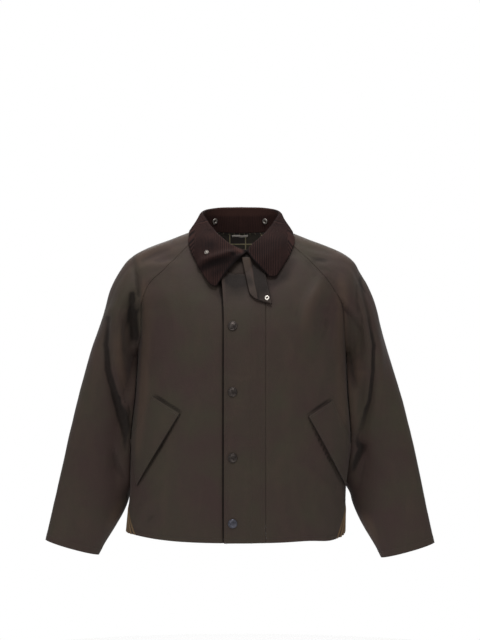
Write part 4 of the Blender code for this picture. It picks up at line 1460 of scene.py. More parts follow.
@dataclass(frozen=True)
class PlainCloth:
    """Woven tape or thread in one colour with a little unevenness."""

    name: str
    colour: Colour
    roughness: float = 0.8
    scale: float = 600.0

    def material(self) -> Material:
        """Builds the finish.

        Returns:
            The material.
        """
        g = Graph(self.name)
        fibre = g.noise(g.place(), self.scale, 2.0, 0.65)
        dark = tuple(v * 0.55 for v in self.colour[:3]) + (1.0,)
        colour, rough = g.mix(fibre, dark, self.colour), self.roughness + (fibre - 0.5) * 0.1
        return g.set(Base_Color=colour, Roughness=rough, Normal=g.bump(fibre, 0.0003, 0.6))


@dataclass(frozen=True)
class Metal:
    """Stud metal in two tones, with darker tarnish in random patches."""

    name: str
    colour: Colour
    tarnish: Colour
    roughness: float

    def material(self) -> Material:
        """Builds the finish.

        Returns:
            The material.
        """
        g = Graph(self.name)
        place = g.place()
        patch = g.noise(place, 260.0, 4.0, 0.6)
        colour = g.mix(((patch - 0.42) * 3.0).clamp(), self.colour, self.tarnish)
        fine = g.bump(g.noise(place, 900.0, 2.0), 0.00012, 0.5)
        rough = self.roughness + (patch - 0.5) * 0.3
        return g.set(Base_Color=colour, Metallic=1.0, Roughness=rough, Normal=fine)


class Finishes:
    """Every finish of the jacket, built once."""

    def __init__(self) -> None:
        """Builds them."""
        self.wax = WaxedCotton().material()
        self.cord = Corduroy().material()
        self.lining = CheckLining().material()
        self.tape = PlainCloth("cotton_tape", rgb(214, 206, 196)).material()
        self.thread = PlainCloth("brown_thread", rgb(58, 48, 40), 0.6, 1500.0).material()
        self.antique = Metal("antique_metal", rgb(72, 66, 63), rgb(36, 32, 31), 0.44).material()
        self.nickel = Metal("nickel", rgb(214, 208, 200), rgb(150, 142, 134), 0.42).material()
        self.dull = Metal("dull_nickel", rgb(156, 150, 144), rgb(96, 90, 86), 0.5).material()
        self.gunmetal = Metal("gunmetal", rgb(84, 84, 92), rgb(46, 46, 52), 0.4).material()


# ---------------------------------------------------------------- stitching


@dataclass
class Stitcher:
    """Rows of stitches laid along lines by one node tree."""

    pitch: float = 3.3
    length: float = 2.3
    radius: float = 0.34
    tree: bpy.types.NodeTree | None = None

    def build_tree(self) -> bpy.types.NodeTree:
        """Builds the tree with its named inputs.

        Returns:
            The tree.
        """
        tree = bpy.data.node_groups.new("stitch_run", "GeometryNodeTree")
        for name, kind in (
            ("Line", "Geometry"),
            ("Pitch", "Float"),
            ("Stitch Length", "Float"),
            ("Thread Radius", "Float"),
            ("Thread", "Material"),
        ):
            tree.interface.new_socket(name, in_out="INPUT", socket_type=f"NodeSocket{kind}")
        tree.interface.new_socket("Stitches", in_out="OUTPUT", socket_type="NodeSocketGeometry")
        made = {}
        for key, kind in (
            ("in", "NodeGroupInput"), ("points", "GeometryNodeCurveToPoints"),
            ("stitch", "GeometryNodeMeshUVSphere"), ("double", "ShaderNodeMath"),
            ("size", "ShaderNodeCombineXYZ"), ("turn", "FunctionNodeAlignRotationToVector"),
            ("lay", "GeometryNodeInstanceOnPoints"), ("real", "GeometryNodeRealizeInstances"),
            ("soft", "GeometryNodeSetShadeSmooth"), ("dress", "GeometryNodeSetMaterial"),
            ("out", "NodeGroupOutput"),
        ):
            made[key] = tree.nodes.new(kind)
        made["points"].mode = "LENGTH"
        made["turn"].axis = "Z"
        made["double"].operation = "MULTIPLY"
        for key, socket, value in (
            ("double", 1, 2.0), ("stitch", "Segments", 6), ("stitch", "Rings", 4), ("stitch", "Radius", 0.5),
        ):
            made[key].inputs[socket].default_value = value
        for start, output, end, socket in (
            ("in", "Line", "points", "Curve"), ("in", "Pitch", "points", "Length"),
            ("in", "Thread Radius", "double", 0), ("double", 0, "size", 0), ("double", 0, "size", 1),
            ("in", "Stitch Length", "size", 2), ("points", "Points", "lay", "Points"),
            ("points", "Tangent", "turn", "Vector"), ("turn", "Rotation", "lay", "Rotation"),
            ("stitch", "Mesh", "lay", "Instance"), ("size", 0, "lay", "Scale"),
            ("lay", "Instances", "real", 0), ("real", 0, "soft", 0), ("soft", 0, "dress", "Geometry"),
            ("in", "Thread", "dress", "Material"), ("dress", 0, "out", 0),
        ):
            tree.links.new(made[start].outputs[output], made[end].inputs[socket])
        return tree

    def run(self, name: str, lines: Iterable[Array], thread: Material) -> None:
        """Lays stitches along lines as one plain mesh piece.

        Args:
            name: name of the piece.
            lines: points of each line, in millimetres.
            thread: finish of the thread.
        """
        self.tree = self.tree or self.build_tree()
        curve = bpy.data.curves.new(f"{name}_lines", "CURVE")
        curve.dimensions = "3D"
        for line in lines:
            if len(line) > 1:
                spline = curve.splines.new("POLY")
                spline.points.add(len(line) - 1)
                spline.points.foreach_set("co", np.column_stack((line * MM, np.ones(len(line)))).ravel())
        guide = placed(f"{name}_guide", curve)
        modifier = guide.modifiers.new("stitches", "NODES")
        modifier.node_group = self.tree
        inputs = [item for item in self.tree.interface.items_tree if item.in_out == "INPUT"]
        sockets = {item.name: item.identifier for item in inputs}
        sizes = {"Pitch": self.pitch, "Stitch Length": self.length, "Thread Radius": self.radius}
        for key, value in sizes.items():
            modifier[sockets[key]] = value * MM
        modifier[sockets["Thread"]] = thread
        bpy.context.view_layer.update()
        mesh = bpy.data.meshes.new_from_object(guide.evaluated_get(bpy.context.evaluated_depsgraph_get()))
        guide.modifiers.remove(modifier)
        bpy.data.objects.remove(guide)
        bpy.data.curves.remove(curve)
        mesh.name = name
        if not mesh.materials:
            mesh.materials.append(thread)
        declare(placed(name, mesh), "waxed_cotton")


# ---------------------------------------------------------------- the jacket's sub-assemblies


@dataclass
class JacketShell:
    """The body panels, sleeves and gussets, which share their seams.

    The hem and the cuff have the width of a turned band and the place of its stitches. The gap beside the
    storm flap has its sizes where the flap is closed, and what is added where it stands open.
    """

    body: BodyForm
    arm: SleeveForm
    tailor: Tailor
    cloth: float = 1.5
    flap_cloth: float = 2.4
    zip_edge: float = 10.0
    flap_seam: float = 52.0
    flap_free: float = 32.0
    flap_flare: float = 7.0
    flare_start: float = -190.0
    flap_levels: tuple[float, float, float] = (2.8, 1.8, 2.4)
    slit: float = -135.0
    slit_wide: float = -112.0
    gap_depth: Span = (2.4, 2.6)
    gap_width: Span = (2.6, 1.2)
    gap_dark: Span = (1.3, 1.4)
    band: float = 0.5
    hem: Span = (10.0, 9.0)
    cuff: Span = (14.0, 13.0)
    seam_rows: Span = (1.8, 7.0)
    sleeve_row: float = 2.2
    flap_rows: tuple[float, ...] = (1.6, 8.0, 30.0)
    flap_edge_row: float = 5.5
    front_columns: int = 44
    back_columns: int = 92
    flap_columns: int = 22
    pleats: int = 9
    pleat_height: float = 1.9
    shells: dict[str, Shell] = field(default_factory=dict)

    def free_edge(self, height: Array) -> Array:
        """Place across of the storm flap's free edge."""
        rise = np.maximum(0.0, (height - self.flare_start) / (self.body.neck_front - self.flare_start))
        return -self.flap_free - self.flap_flare * rise**2

    def flap_level(self, x: Array, height: Array) -> Array:
        """How far the storm flap's outer side stands off the front's skin.

        Args:
            x: places across.
            height: heights.

        Returns:
            One distance per place.
        """
        share = within(x / self.free_edge(height))
        over, rise, open_rise = self.flap_levels
        seam = over * smooth(x, self.flap_seam, self.zip_edge)
        level = np.where(x > self.zip_edge, seam, over + rise * share**3)
        opened = within((height - self.slit) / (self.body.neck_front - self.slit))
        return level + open_rise * opened * share**3

    def add(self, name: str, grid: Array, outward: Sequence[float], *seams: str, hollow: float = 0.7) -> None:
        """Keeps a new shell under the name of its solid."""
        self.shells[name] = Shell(f"{name}_cloth", grid, outward, seams, hollow)

    def cut(self) -> None:
        """Cuts every panel to its seams and drapes it."""
        body, front = self.body, Part.FRONT
        edge = self.free_edge(body.centres(front)[0])[:, None]
        zero = 0 * edge
        across = np.linspace(0.0, 1.0, self.flap_columns + 1)[None, ::2]
        under = body.points(edge + (-1e-6 - edge) * across, front)
        short = body.points(1e-6 + self.zip_edge * np.linspace(0, 1, 4)[None, 1:] + zero, front)
        outer = body.toward(Side.RIGHT, front, edge[:, 0], self.front_columns + 12, 1.5)
        right = np.concatenate((outer[:, :0:-1], under, short), axis=1)
        self.add("front_right", right, FORWARD, "bottom", "start")
        seam = zero[:, 0] + self.flap_seam
        left = body.toward(Side.LEFT, front, seam, self.front_columns - 4)
        self.add("front_left", left, FORWARD, "bottom", "start", "end")
        wide = (self.flap_seam - self.zip_edge) * np.linspace(0, 1, 12)[None, 1:]
        beyond = body.points(self.zip_edge + wide + zero, front)
        self.add("storm_flap", np.concatenate((under, short, beyond), axis=1), FORWARD, "bottom", "end")
        right, left = (body.toward(side, Part.BACK, zero[:, 0], self.back_columns // 2) for side in Side)
        back = np.concatenate((right[:, :0:-1], left), axis=1)
        self.add("back_panel", back, BACKWARD, "bottom", "start", "end", hollow=0.3)
        for side in Side:
            for part, outward in ((Part.FRONT, FORWARD), (Part.BACK, BACKWARD)):
                name, grid = f"sleeve_{side.word}_{part.value}", self.arm.grid(side, part, body)
                # the sleeves' fronts get less painted shade in their hollows than their backs
                hollow = 0.3 if part is Part.FRONT else 0.55
                self.add(name, grid, outward, "top", "start", "end", hollow=hollow)
            self.add(f"side_gusset_{side.word}", self.gusset(side), (side.value, 0, 0), "top", "start", "end")
        shells = list(self.shells.values())
        self.tailor.share_normals(shells)
        self.tailor.drape_on(shells)

    def gusset(self, side: Side) -> Array:
        """Grid of a side gusset, from its tip down to the hem and from the front round to the back.

        Args:
            side: the wearer's side.

        Returns:
            A grid of points.
        """
        heights = np.linspace(self.body.gusset_top, self.body.hem_side, self.body.gusset_rows + 1)
        turn = self.body.gusset_turn(heights)[:, None]
        steps = turn * np.linspace(-1.0, 1.0, self.pleats * 12 + 1)[None, :]
        return self.body.skin(side.value * (math.pi / 2 + steps), heights[:, None] + 0 * steps)

    def sew(self, finishes: Finishes, stitcher: Stitcher) -> None:
        """Builds all pieces of the shell and their stitching.

        Args:
            finishes: the jacket's finishes.
            stitcher: lays the rows of stitches.
        """
        body_lines, sleeve_lines = [], []
        for name, shell in self.shells.items():
            thickness = self.cloth
            if name == "storm_flap":
                shell.raised += self.flap_level(shell.points[..., 0], shell.points[..., 2])
                shell.points = shell.outer()
                thickness = self.flap_cloth
            if name.startswith("side_gusset"):
                self.gather(shell)
            else:
                shell.densify()
            shell.turn_in()
            if name == "front_right":
                self.shadow_gap(shell)
            if name.startswith("sleeve"):
                shell.band("bottom", self.cuff[0], self.band)
                sleeve_lines += [shell.path("bottom", self.cuff[1]), shell.path("start", self.sleeve_row)]
                if name.endswith("back"):
                    sleeve_lines.append(shell.path("start", self.seam_rows[1]))
            elif not name.startswith("side_gusset"):
                shell.band("top", self.hem[0], self.band)
                body_lines.append(shell.path("top", self.hem[1]))
            self.tailor.sew(shell, thickness, (finishes.wax, finishes.lining), name)
        for name, edge in (
            ("front_right", "start"), ("front_left", "end"), ("back_panel", "start"), ("back_panel", "end"),
        ):
            shell = self.shells[name]
            top = (len(self.body.side_heights()) + 4) / shell.points.shape[0]
            near, far = self.seam_rows
            for inset, span in ((near, (top, 1.0)), (far, (top, 1.0)), (near, (0.0, top))):
                body_lines.append(shell.path(edge, inset, span))
        flap = self.shells["storm_flap"]
        flap_lines = [flap.path("start", self.flap_edge_row)]
        flap_lines += [flap.path("end", inset) for inset in self.flap_rows]
        for name, lines in (("body", body_lines), ("sleeves", sleeve_lines), ("flap", flap_lines)):
            stitcher.run(f"{name}_stitching", lines, finishes.thread)

    def shadow_gap(self, shell: Shell) -> None:
        """Lets the right front fall back beside the storm flap's free edge, most where the edge stands open,
        and paints a shadow into the gap and a softer one beside it.

        Args:
            shell: the right front.
        """
        height = shell.points[..., 2]
        away = shell.points[..., 0] - self.free_edge(height)
        opened = smooth(height, self.slit, self.slit_wide)
        measures = (self.gap_depth, self.gap_width, self.gap_dark)
        depth, width, dark = (closed + more * opened for closed, more in measures)
        near = bell((away + 1.0) / width)
        shell.points = shell.points - shell.normals * (depth * near)[..., None]
        # painted shadow in the gap, uneven along it, and a softer painted shadow beside it
        uneven = 0.85 + 0.35 * self.tailor.drape.noise(shell.points * UP, 27.0, 6)
        shadow_tail = 0.3 * bell((away + 6.0) / 5.0) * smooth(away, 0.0, -2.0)
        shell.worn -= dark * near * np.maximum(uneven, opened) + shadow_tail

    def gather(self, shell: Shell) -> None:
        """Raises a gusset's pleats, uneven in height and reach.

        Args:
            shell: the gusset.
        """
        rows, columns = shell.points.shape[:2]
        ends = np.linspace(0, columns - 1, self.pleats + 1)
        heights = np.random.default_rng(11).uniform(0.6, 1.3, self.pleats + 1)
        uneven = np.interp(np.arange(columns), ends, heights)
        fade = smooth(np.linspace(0, 1, rows), 0.02, 0.3)[:, None]
        phase = np.linspace(0.0, self.pleats * math.pi * 2, columns)
        pleat = np.sin(phase)[None, :] * uneven[None, :] * fade * within(from_ends(columns) / 8.0)[None, :]
        shell.points = shell.points + shell.normals * (self.pleat_height * pleat)[..., None]
        # the gusset painted paler, most on the pleats' crests as a painted highlight
        shell.worn += 0.85 + 0.5 * pleat


@dataclass
class Collar:
    """The corduroy stand and fall.

    Each line of the roll over the stand has a distance outward, a height and a share of the rise behind.
    """

    shell: JacketShell
    tailor: Tailor
    centre: tuple[float, float, float] = (2.0, -5.0, 0.0)
    mean_radius: float = 75.0
    stand_cloth: float = 2.2
    fall_cloth: float = 2.4
    wales: int = 96
    samples: int = 6
    wale_pitch: float = 4.6
    wale_height: float = 0.85
    wale_run_on: float = 60.0
    upright: Span = (78.0, 48.0)
    fall_rows: int = 58
    leaf_start: float = 0.6
    crossing: tuple[float, float, float] = (9.4, 7.0, 11.0)
    leaves: Span = (-30.0, -55.0)
    knot: float = 4.5
    knot_columns: float = 13.0
    knot_heights: Span = (-58.0, -44.0)
    crown_back: float = 2.2
    roll: tuple[tuple[float, float, float], ...] = (
        (-2.2, 0.3, 0), (-1.2, 3.2, 0.8), (1.3, 4.4, 1), (4.2, 3.4, 0.8), (5.6, 1, 0),
    )
    table: Table = Table(
        "azimuth roll_radius roll_height right_angle right_height left_angle left_height lift bulge",
        (0, 75, -34, 7.6, -109, 9.8, -89, 8, 5), (6, 74.4, -33, 8.3, -108.5, 10.8, -88.8, 8, 5),
        (12, 73, -27, 9.6, -107, 12.6, -88, 8, 6), (34, 68.5, -8, 12.6, -91, 15.0, -76, 8, 8),
        (55, 67.5, 9, 16.9, -62, 19.5, -55, 7, 9), (78, 71, 28, 27, -29, 30, -27, 6, 4),
        (88, 76.5, 39, 52, 1, 54, 1, 5, 2), (99, 82, 48, 90, 12, 90, 12, 3.4, 0),
        (122, 81, 58, 128, 1, 128, 1, 5, 3), (147, 77, 62, 153, -4, 153, -4, 5, 5),
        (180, 71, 63, 180, -7, 180, -7, 5, 5),
    )
    folds: tuple[Crease, ...] = creases("""
        7.5 9 0 5: -84 -70 -74 -55 -58 -50 -36 -44 -14 -36 6 -26
        -3 9: -84 -74 -60 -66 -30 -58
        1.8 9 -0.4: 66 -30 50 -44 34 -62
        -1.2 8 0.3: 92 -26 80 -48 70 -66
        4 4.6: -8 -30 2 -34 8 -42
    """)
    # painted shade and painted highlights on the collar's leaves
    shades: tuple[Crease, ...] = creases("""
        -1.6 8: -78 -70 -60 -60 -40 -54 -16 -48
        -0.7 9: -60 -84 -44 -74 -22 -62
        -1.3 3.6: -17 -37 -11 -42
        1.7 4.4: -10 -28 2 -34 8 -42
        -0.6 13: -74 -18 -48 -24
        0.5 9: -72 -84 -52 -94
        -0.45 24: 84 -10 56 -40 50 -70
    """)

    def azimuth(self, points: Array) -> Array:
        """Angles of points round the neck, 0 at the front, positive on the left."""
        away = points - self.centre
        return np.arctan2(away[..., 0], -away[..., 1])

    def around(self, azimuth: Array, radius: Array, height: Array) -> Array:
        """Points at angles round the neck's axis."""
        turned = [radius * np.sin(azimuth), -radius * np.cos(azimuth), height + 0 * azimuth]
        return self.centre + np.stack(turned, axis=-1)

    def neck(self) -> Array:
        """Points of the neck seam from the zip edge round the right, the back and the left to the zip edge.

        Returns:
            Points round the neck.
        """
        shells, columns = self.shell.shells, self.shell.body.neck_columns + 1
        runs = []
        for name, way in (
            ("front_right", -1), ("sleeve_right_front", -1), ("sleeve_right_back", 1),
            ("back_panel", 1), ("sleeve_left_back", -1), ("sleeve_left_front", 1),
        ):
            grid = shells[name].points
            runs.append((grid[0, :columns] if name.startswith("sleeve") else grid[-1])[::way][:-1])
        flap = shells["storm_flap"].points[-1]
        zip_column = int(np.argmin(np.abs(flap[:, 0] - self.shell.zip_edge)))
        left = np.concatenate((flap[zip_column:-1], shells["front_left"].points[-1]))
        return np.concatenate((*runs, left[::-1]))

    def stand(self) -> Shell:
        """Grid of the stand from the neck seam up to the roll line.

        Returns:
            The shell of the stand.
        """
        neck = self.neck()
        azimuth = self.azimuth(neck)
        key = np.abs(np.degrees(azimuth))
        roll = self.around(azimuth, self.table.at(key, "roll_radius"), self.table.at(key, "roll_height"))
        share = np.linspace(0.0, 1.0, 14)[:, None, None]
        grid = neck[None] + (roll - neck)[None] * share
        return Shell("collar_stand_cloth", grid, BACKWARD, ("top", "start", "end"))

    def wale_wave(self, plain: Array) -> Array:
        """Height of the pile over the fall, from 0 in a groove to 1 on a crest.

        The wales are even along the middle of the fall. They hang upright on the leaves and square to it
        elsewhere.

        Args:
            plain: plain outer grid of the fall.

        Returns:
            One value per point.
        """
        middle = plain[len(plain) // 2, :, :2]
        first, last = unit(middle[0] - middle[6]), unit(middle[-1] - middle[-7])
        first, last = middle[0] + self.wale_run_on * first, middle[-1] + self.wale_run_on * last
        guide = np.concatenate(([first], middle[3:-3], [last]))
        runs, lengths = np.diff(guide, axis=0), gaps(guide)
        ends = running(lengths)
        halves = slice(0, int(guide[:, 0].argmin()) + 1), slice(int(guide[:, 0].argmax()), len(guide))
        count = np.arange(plain.shape[1])
        phase = np.zeros(plain.shape[:2])
        for row, points in enumerate(plain):
            off = points[:, None, :2] - guide[None, :-1]
            share = np.clip((off * runs).sum(-1) / lengths, 0.0, lengths)
            away = np.linalg.norm(off - runs / lengths[:, None] * share[..., None], axis=-1)
            best = away.argmin(axis=1)
            square = ends[best] + share[count, best]
            sides = [np.interp(points[:, 0], guide[half, 0][::-1], ends[half][::-1]) for half in halves]
            upright = np.where(count < len(count) // 2, *sides)
            on_leaf = smooth(np.degrees(np.abs(self.azimuth(points))), *self.upright)
            phase[row] = square + (upright - square) * on_leaf
        return np.abs(np.sin(math.pi * phase / self.wale_pitch)) ** 0.7

    def crossed(self, grid: Array) -> Array:
        """Points turned to the left near the front, where the right leaf reaches past the middle.

        Args:
            grid: grid of the fall.

        Returns:
            The turned grid.
        """
        right, left, width = self.crossing
        shift = np.where(np.arange(grid.shape[1]) < grid.shape[1] // 2, right, left)
        azimuth = self.azimuth(grid)
        radius = np.linalg.norm((grid - self.centre)[..., :2], axis=-1)
        turned = azimuth + np.radians(shift) * bell(azimuth / math.radians(width))
        return self.around(turned, radius, grid[..., 2] - self.centre[2])

    def fall(self, top: Array) -> tuple[Array, Array]:
        """Plain outer grid of the fall and its outward directions, over the stand's top line.

        Args:
            top: the stand's top line.

        Returns:
            The grid and its directions.
        """
        span = math.radians(360.0 - 2 * self.leaf_start)
        count = self.wales * self.samples
        azimuth = -math.radians(self.leaf_start) - span * np.arange(count + 1) / count
        azimuth = np.where(azimuth > -math.pi, azimuth, azimuth + 2 * math.pi)
        turned = -np.unwrap(self.azimuth(top))
        key = np.where(-azimuth >= turned[0], -azimuth, -azimuth + 2 * math.pi)
        base = np.stack([np.interp(key, turned, top[:, k]) for k in range(3)], axis=1)
        degrees = np.abs(np.degrees(azimuth))
        read = {name: self.table.at(degrees, name) for name in self.table.columns}
        turn = np.radians(np.where(azimuth > 0, read["left_angle"], -read["right_angle"]))
        height = np.where(azimuth > 0, read["left_height"], read["right_height"])
        body = self.shell.body
        edge = body.skin(turn, height) + body.normal(turn, height) * read["lift"][:, None]
        radial = unit(self.around(azimuth, 1.0, 0.0) - self.centre)
        behind = self.crown_back * smooth(degrees, 118.0, 160.0)[:, None]
        lines = [base + radial * out + UP * (up + rise * behind) for out, up, rise in self.roll]
        start = lines[-1]
        chord = edge - start
        outward = unit(radial * -chord[:, 2:] + UP * (chord * radial).sum(1, keepdims=True))
        for share in np.linspace(0.0, 1.0, self.fall_rows)[1:]:
            bulge = (read["bulge"] * 4 * share * (1 - share))[:, None]
            lines.append(start + chord * share + outward * bulge)
        grid = self.crossed(np.array(lines))
        for _ in range(2):
            grid[2:8] = (grid[1:7] + 2 * grid[2:8] + grid[3:9]) / 4
        normals = Shell("plain", grid, BACKWARD).normals
        lift = lifted(self.folds, grid) * smooth(grid[..., 1], *self.leaves)
        lift += 0.5 * self.tailor.drape.noise(grid, 26.0, 9)
        knot = bell(np.arange(grid.shape[1]) / self.knot_columns) * smooth(grid[..., 2], *self.knot_heights)
        lift += self.knot * knot
        lift *= within(np.arange(len(grid)) / 14.0)[:, None] ** 2
        return grid + normals * lift[..., None], normals

    def build_stand(self, finishes: Finishes) -> Array:
        """Builds the stand, ribbed on its inner side, and returns its top line.

        Args:
            finishes: the jacket's finishes.

        Returns:
            Its top line.
        """
        stand = self.stand()
        stand.densify((1.2,))
        stand.turn_in(reach=1.6, drop=0.5)
        points, normals = stand.points, stand.normals
        azimuth = np.unwrap(self.azimuth(points[len(points) // 2]))
        wave = np.abs(np.sin(azimuth * self.wales / 2)) ** 0.7
        rib = (wave * within(from_ends(len(azimuth)) / 3.0))[None, :] * np.ones((len(points), 1))
        facing = points - normals * self.stand_cloth - normals * (0.2 * rib[..., None])
        uv = np.stack([azimuth[None, :] * self.mean_radius + 0 * rib, points[..., 2]], axis=-1) * MM
        # the stand's ribs, with painted light along its top at the back
        wear = rib * 0.7 + (0.2 + 2.0 * smooth(points[..., 2], 46.0, 58.0))
        # painted shade on the stand's outer face, which the leaves cover, less at its lowest part in front
        shadow = -0.42 - 0.9 * smooth(points[..., 2], -60.0, -50.0)
        both = (finishes.cord, finishes.wax)
        piece = wall("collar_stand_cloth", facing, stand.outer(), both, wear, uv, shadow)
        declare(piece, "corduroy", "collar_stand")
        return points[-1]

    def build(self, finishes: Finishes) -> None:
        """Builds both pieces.

        Args:
            finishes: the jacket's finishes.
        """
        plain, normals = self.fall(self.build_stand(finishes))
        rows, columns = plain.shape[:2]
        ends = within(from_ends(columns) / 8.0)[None, :]
        inward = within(np.minimum(np.arange(rows), np.arange(rows)[::-1] + 0.4) / 1.5)[:, None]
        wave = self.wale_wave(plain) * ends * inward
        outer = plain + normals * (self.wale_height * (wave - 0.5 * ends * inward))[..., None]
        inner = plain - normals * self.fall_cloth
        edge = within(1 - from_ends(columns) / 4.0)[None, :] * np.ones((rows, 1))
        outer -= normals * (0.9 * edge**2)[..., None]
        inner += normals * (0.7 * edge**2)[..., None]
        inner[-1] += normals[-1] * 0.7
        outer[-1] -= normals[-1] * 0.7
        # painted shade and painted highlights on the leaves, and painted light on the top edge at the back
        shade = lifted(self.shades, plain) * smooth(plain[..., 1], *self.leaves)
        patches = np.clip(self.tailor.drape.noise(plain, 30.0, 4) * 0.35, -0.3, 0.3)
        lit_crown = bell((np.arange(rows) - 0.8) / 1.4)[:, None] * smooth(plain[..., 1], 20.0, 60.0)
        wear = wave * 2.3 - 1.25 + shade + patches + 3.0 * lit_crown
        piece = wall("collar_fall_cloth", outer, inner, (finishes.cord,), wear)
        declare(piece, "corduroy", "collar_fall")


@dataclass
class PocketFlap:
    """A slanted pocket flap lying on a front."""

    side: Side
    corners: tuple[Span, ...]
    rows: int = 60
    columns: int = 24
    level: float = 1.3
    lift: float = 4.2
    cloth: float = 2.2

    def build(self, body: BodyForm, tailor: Tailor, finishes: Finishes) -> list[Array]:
        """Builds the flap.

        Args:
            body: the body's form, on which it lies.
            tailor: drapes and sews it.
            finishes: the jacket's finishes.

        Returns:
            Lines for its stitching.
        """
        down, across, x, z = spread(self.corners, self.rows, self.columns)
        angle = body.angle_at(x * self.side.value, z)
        points, normals = body.skin(angle, z), body.normal(angle, z)
        free = (1 - across) ** 2 * np.sin(math.pi * down) ** 0.7
        lift = tailor.drape.lift(points) * (0.4 + 0.6 * across) + self.level + self.lift * free
        name, outward = f"pocket_flap_{self.side.word}", (self.side.value * 0.5, -1, 0)
        shell = Shell(f"{name}_cloth", points + normals * (lift + self.cloth)[..., None], outward)
        shell.densify()
        shell.turn_in(gap=0.0, drop=0.8, reach=2.4)
        runs = shell.edge_runs()
        # painted shadow: a dark rim along the flap's edges and dark side walls below them
        rim = np.minimum(runs["top"], np.minimum(runs["bottom"], runs["start"]))
        shell.worn -= 2.0 * smooth(rim, 1.6, 0.4)
        tailor.sew(shell, self.cloth, (finishes.wax,), name, under=-1.0)
        return [shell.path(*row) for row in (("start", 6.0), ("top", 6.0), ("end", 2.5), ("bottom", 5.0))]


@dataclass
class ThroatTab:
    """The tab that hangs from under the left leaf, with a folded strip along its right edge."""

    corners: tuple[Span, ...] = ((3.0, -45.0), (46.0, -47.0), (20.0, -130.0), (65.0, -142.0))
    rows: int = 30
    columns: int = 26
    strip: float = 0.38
    corner: float = 9.0
    strip_level: float = 1.2
    level: float = 3.2
    lift: float = 1.2
    cloth: float = 2.4
    stand_foot: float = 92.0
    stand_top: float = 75.0
    stand_height: float = -34.0

    def base(self, x: Array, z: Array, body: BodyForm, centre: tuple[float, float, float]) -> Array:
        """Distance forward of the cloth below.

        Args:
            x: places across.
            z: heights.
            body: the body's form, below the storm flap.
            centre: middle of the collar stand, which lies below the tab's upper part.

        Returns:
            One distance per place.
        """
        share = (z - body.neck_front) / (self.stand_height - body.neck_front)
        foot = self.stand_foot + centre[1]
        radius = foot + (self.stand_top - foot) * share
        stand = np.sqrt(np.maximum(radius**2 - (x - centre[0]) ** 2, 0.0)) - centre[1]
        return np.maximum(stand, -body.skin(body.angle_at(x, z), z)[..., 1])

    def build(self, collar: Collar, tailor: Tailor, finishes: Finishes) -> list[Array]:
        """Builds the tab and returns its stitch lines.

        Args:
            collar: the collar that it hangs under.
            tailor: drapes and sews it.
            finishes: the jacket's finishes.

        Returns:
            Lines for its stitching.
        """
        down, across, x, z = spread(self.corners, self.rows, self.columns)
        z = z + self.corner * within(1 - across / 0.42) ** 2 * down**4
        bow = 1.6 * np.sin(math.pi * down) * np.sin(math.pi * across)
        bow = bow + 0.8 * tailor.drape.noise(np.stack([x, z, 0 * x], -1), 24.0, 5)
        forward = self.base(x, z, collar.shell.body, collar.centre) + self.level + self.lift * down
        forward = forward + self.cloth + np.maximum(bow, -0.4)
        tab = Shell("throat_tab_cloth", np.stack([x, -forward, z], axis=-1), FORWARD)
        tab.raised = self.strip_level * smooth(across, self.strip + 0.02, self.strip - 0.02)
        tab.points = tab.outer()
        tab.densify()
        tab.turn_in(gap=0.0, drop=0.8, reach=2.2)
        runs = tab.edge_runs()
        # painted light on the strip, painted shadow of the leaf over the rest, darkest near the top, a painted
        # dark rim and dark side walls
        leaf_shadow = 0.75 + 0.75 * smooth(tab.points[..., 2], -112.0, -90.0)
        rim = smooth(np.min(list(runs.values()), axis=0), 1.6, 0.4)
        tab.worn += 0.3 - leaf_shadow * smooth(runs["start"], 17.0, 20.0) - 1.6 * rim
        tailor.sew(tab, self.cloth, (finishes.wax,), "throat_tab", under=-1.0)
        return [tab.path(*row) for row in (("end", 3.0), ("bottom", 3.0), ("start", 10.5))]


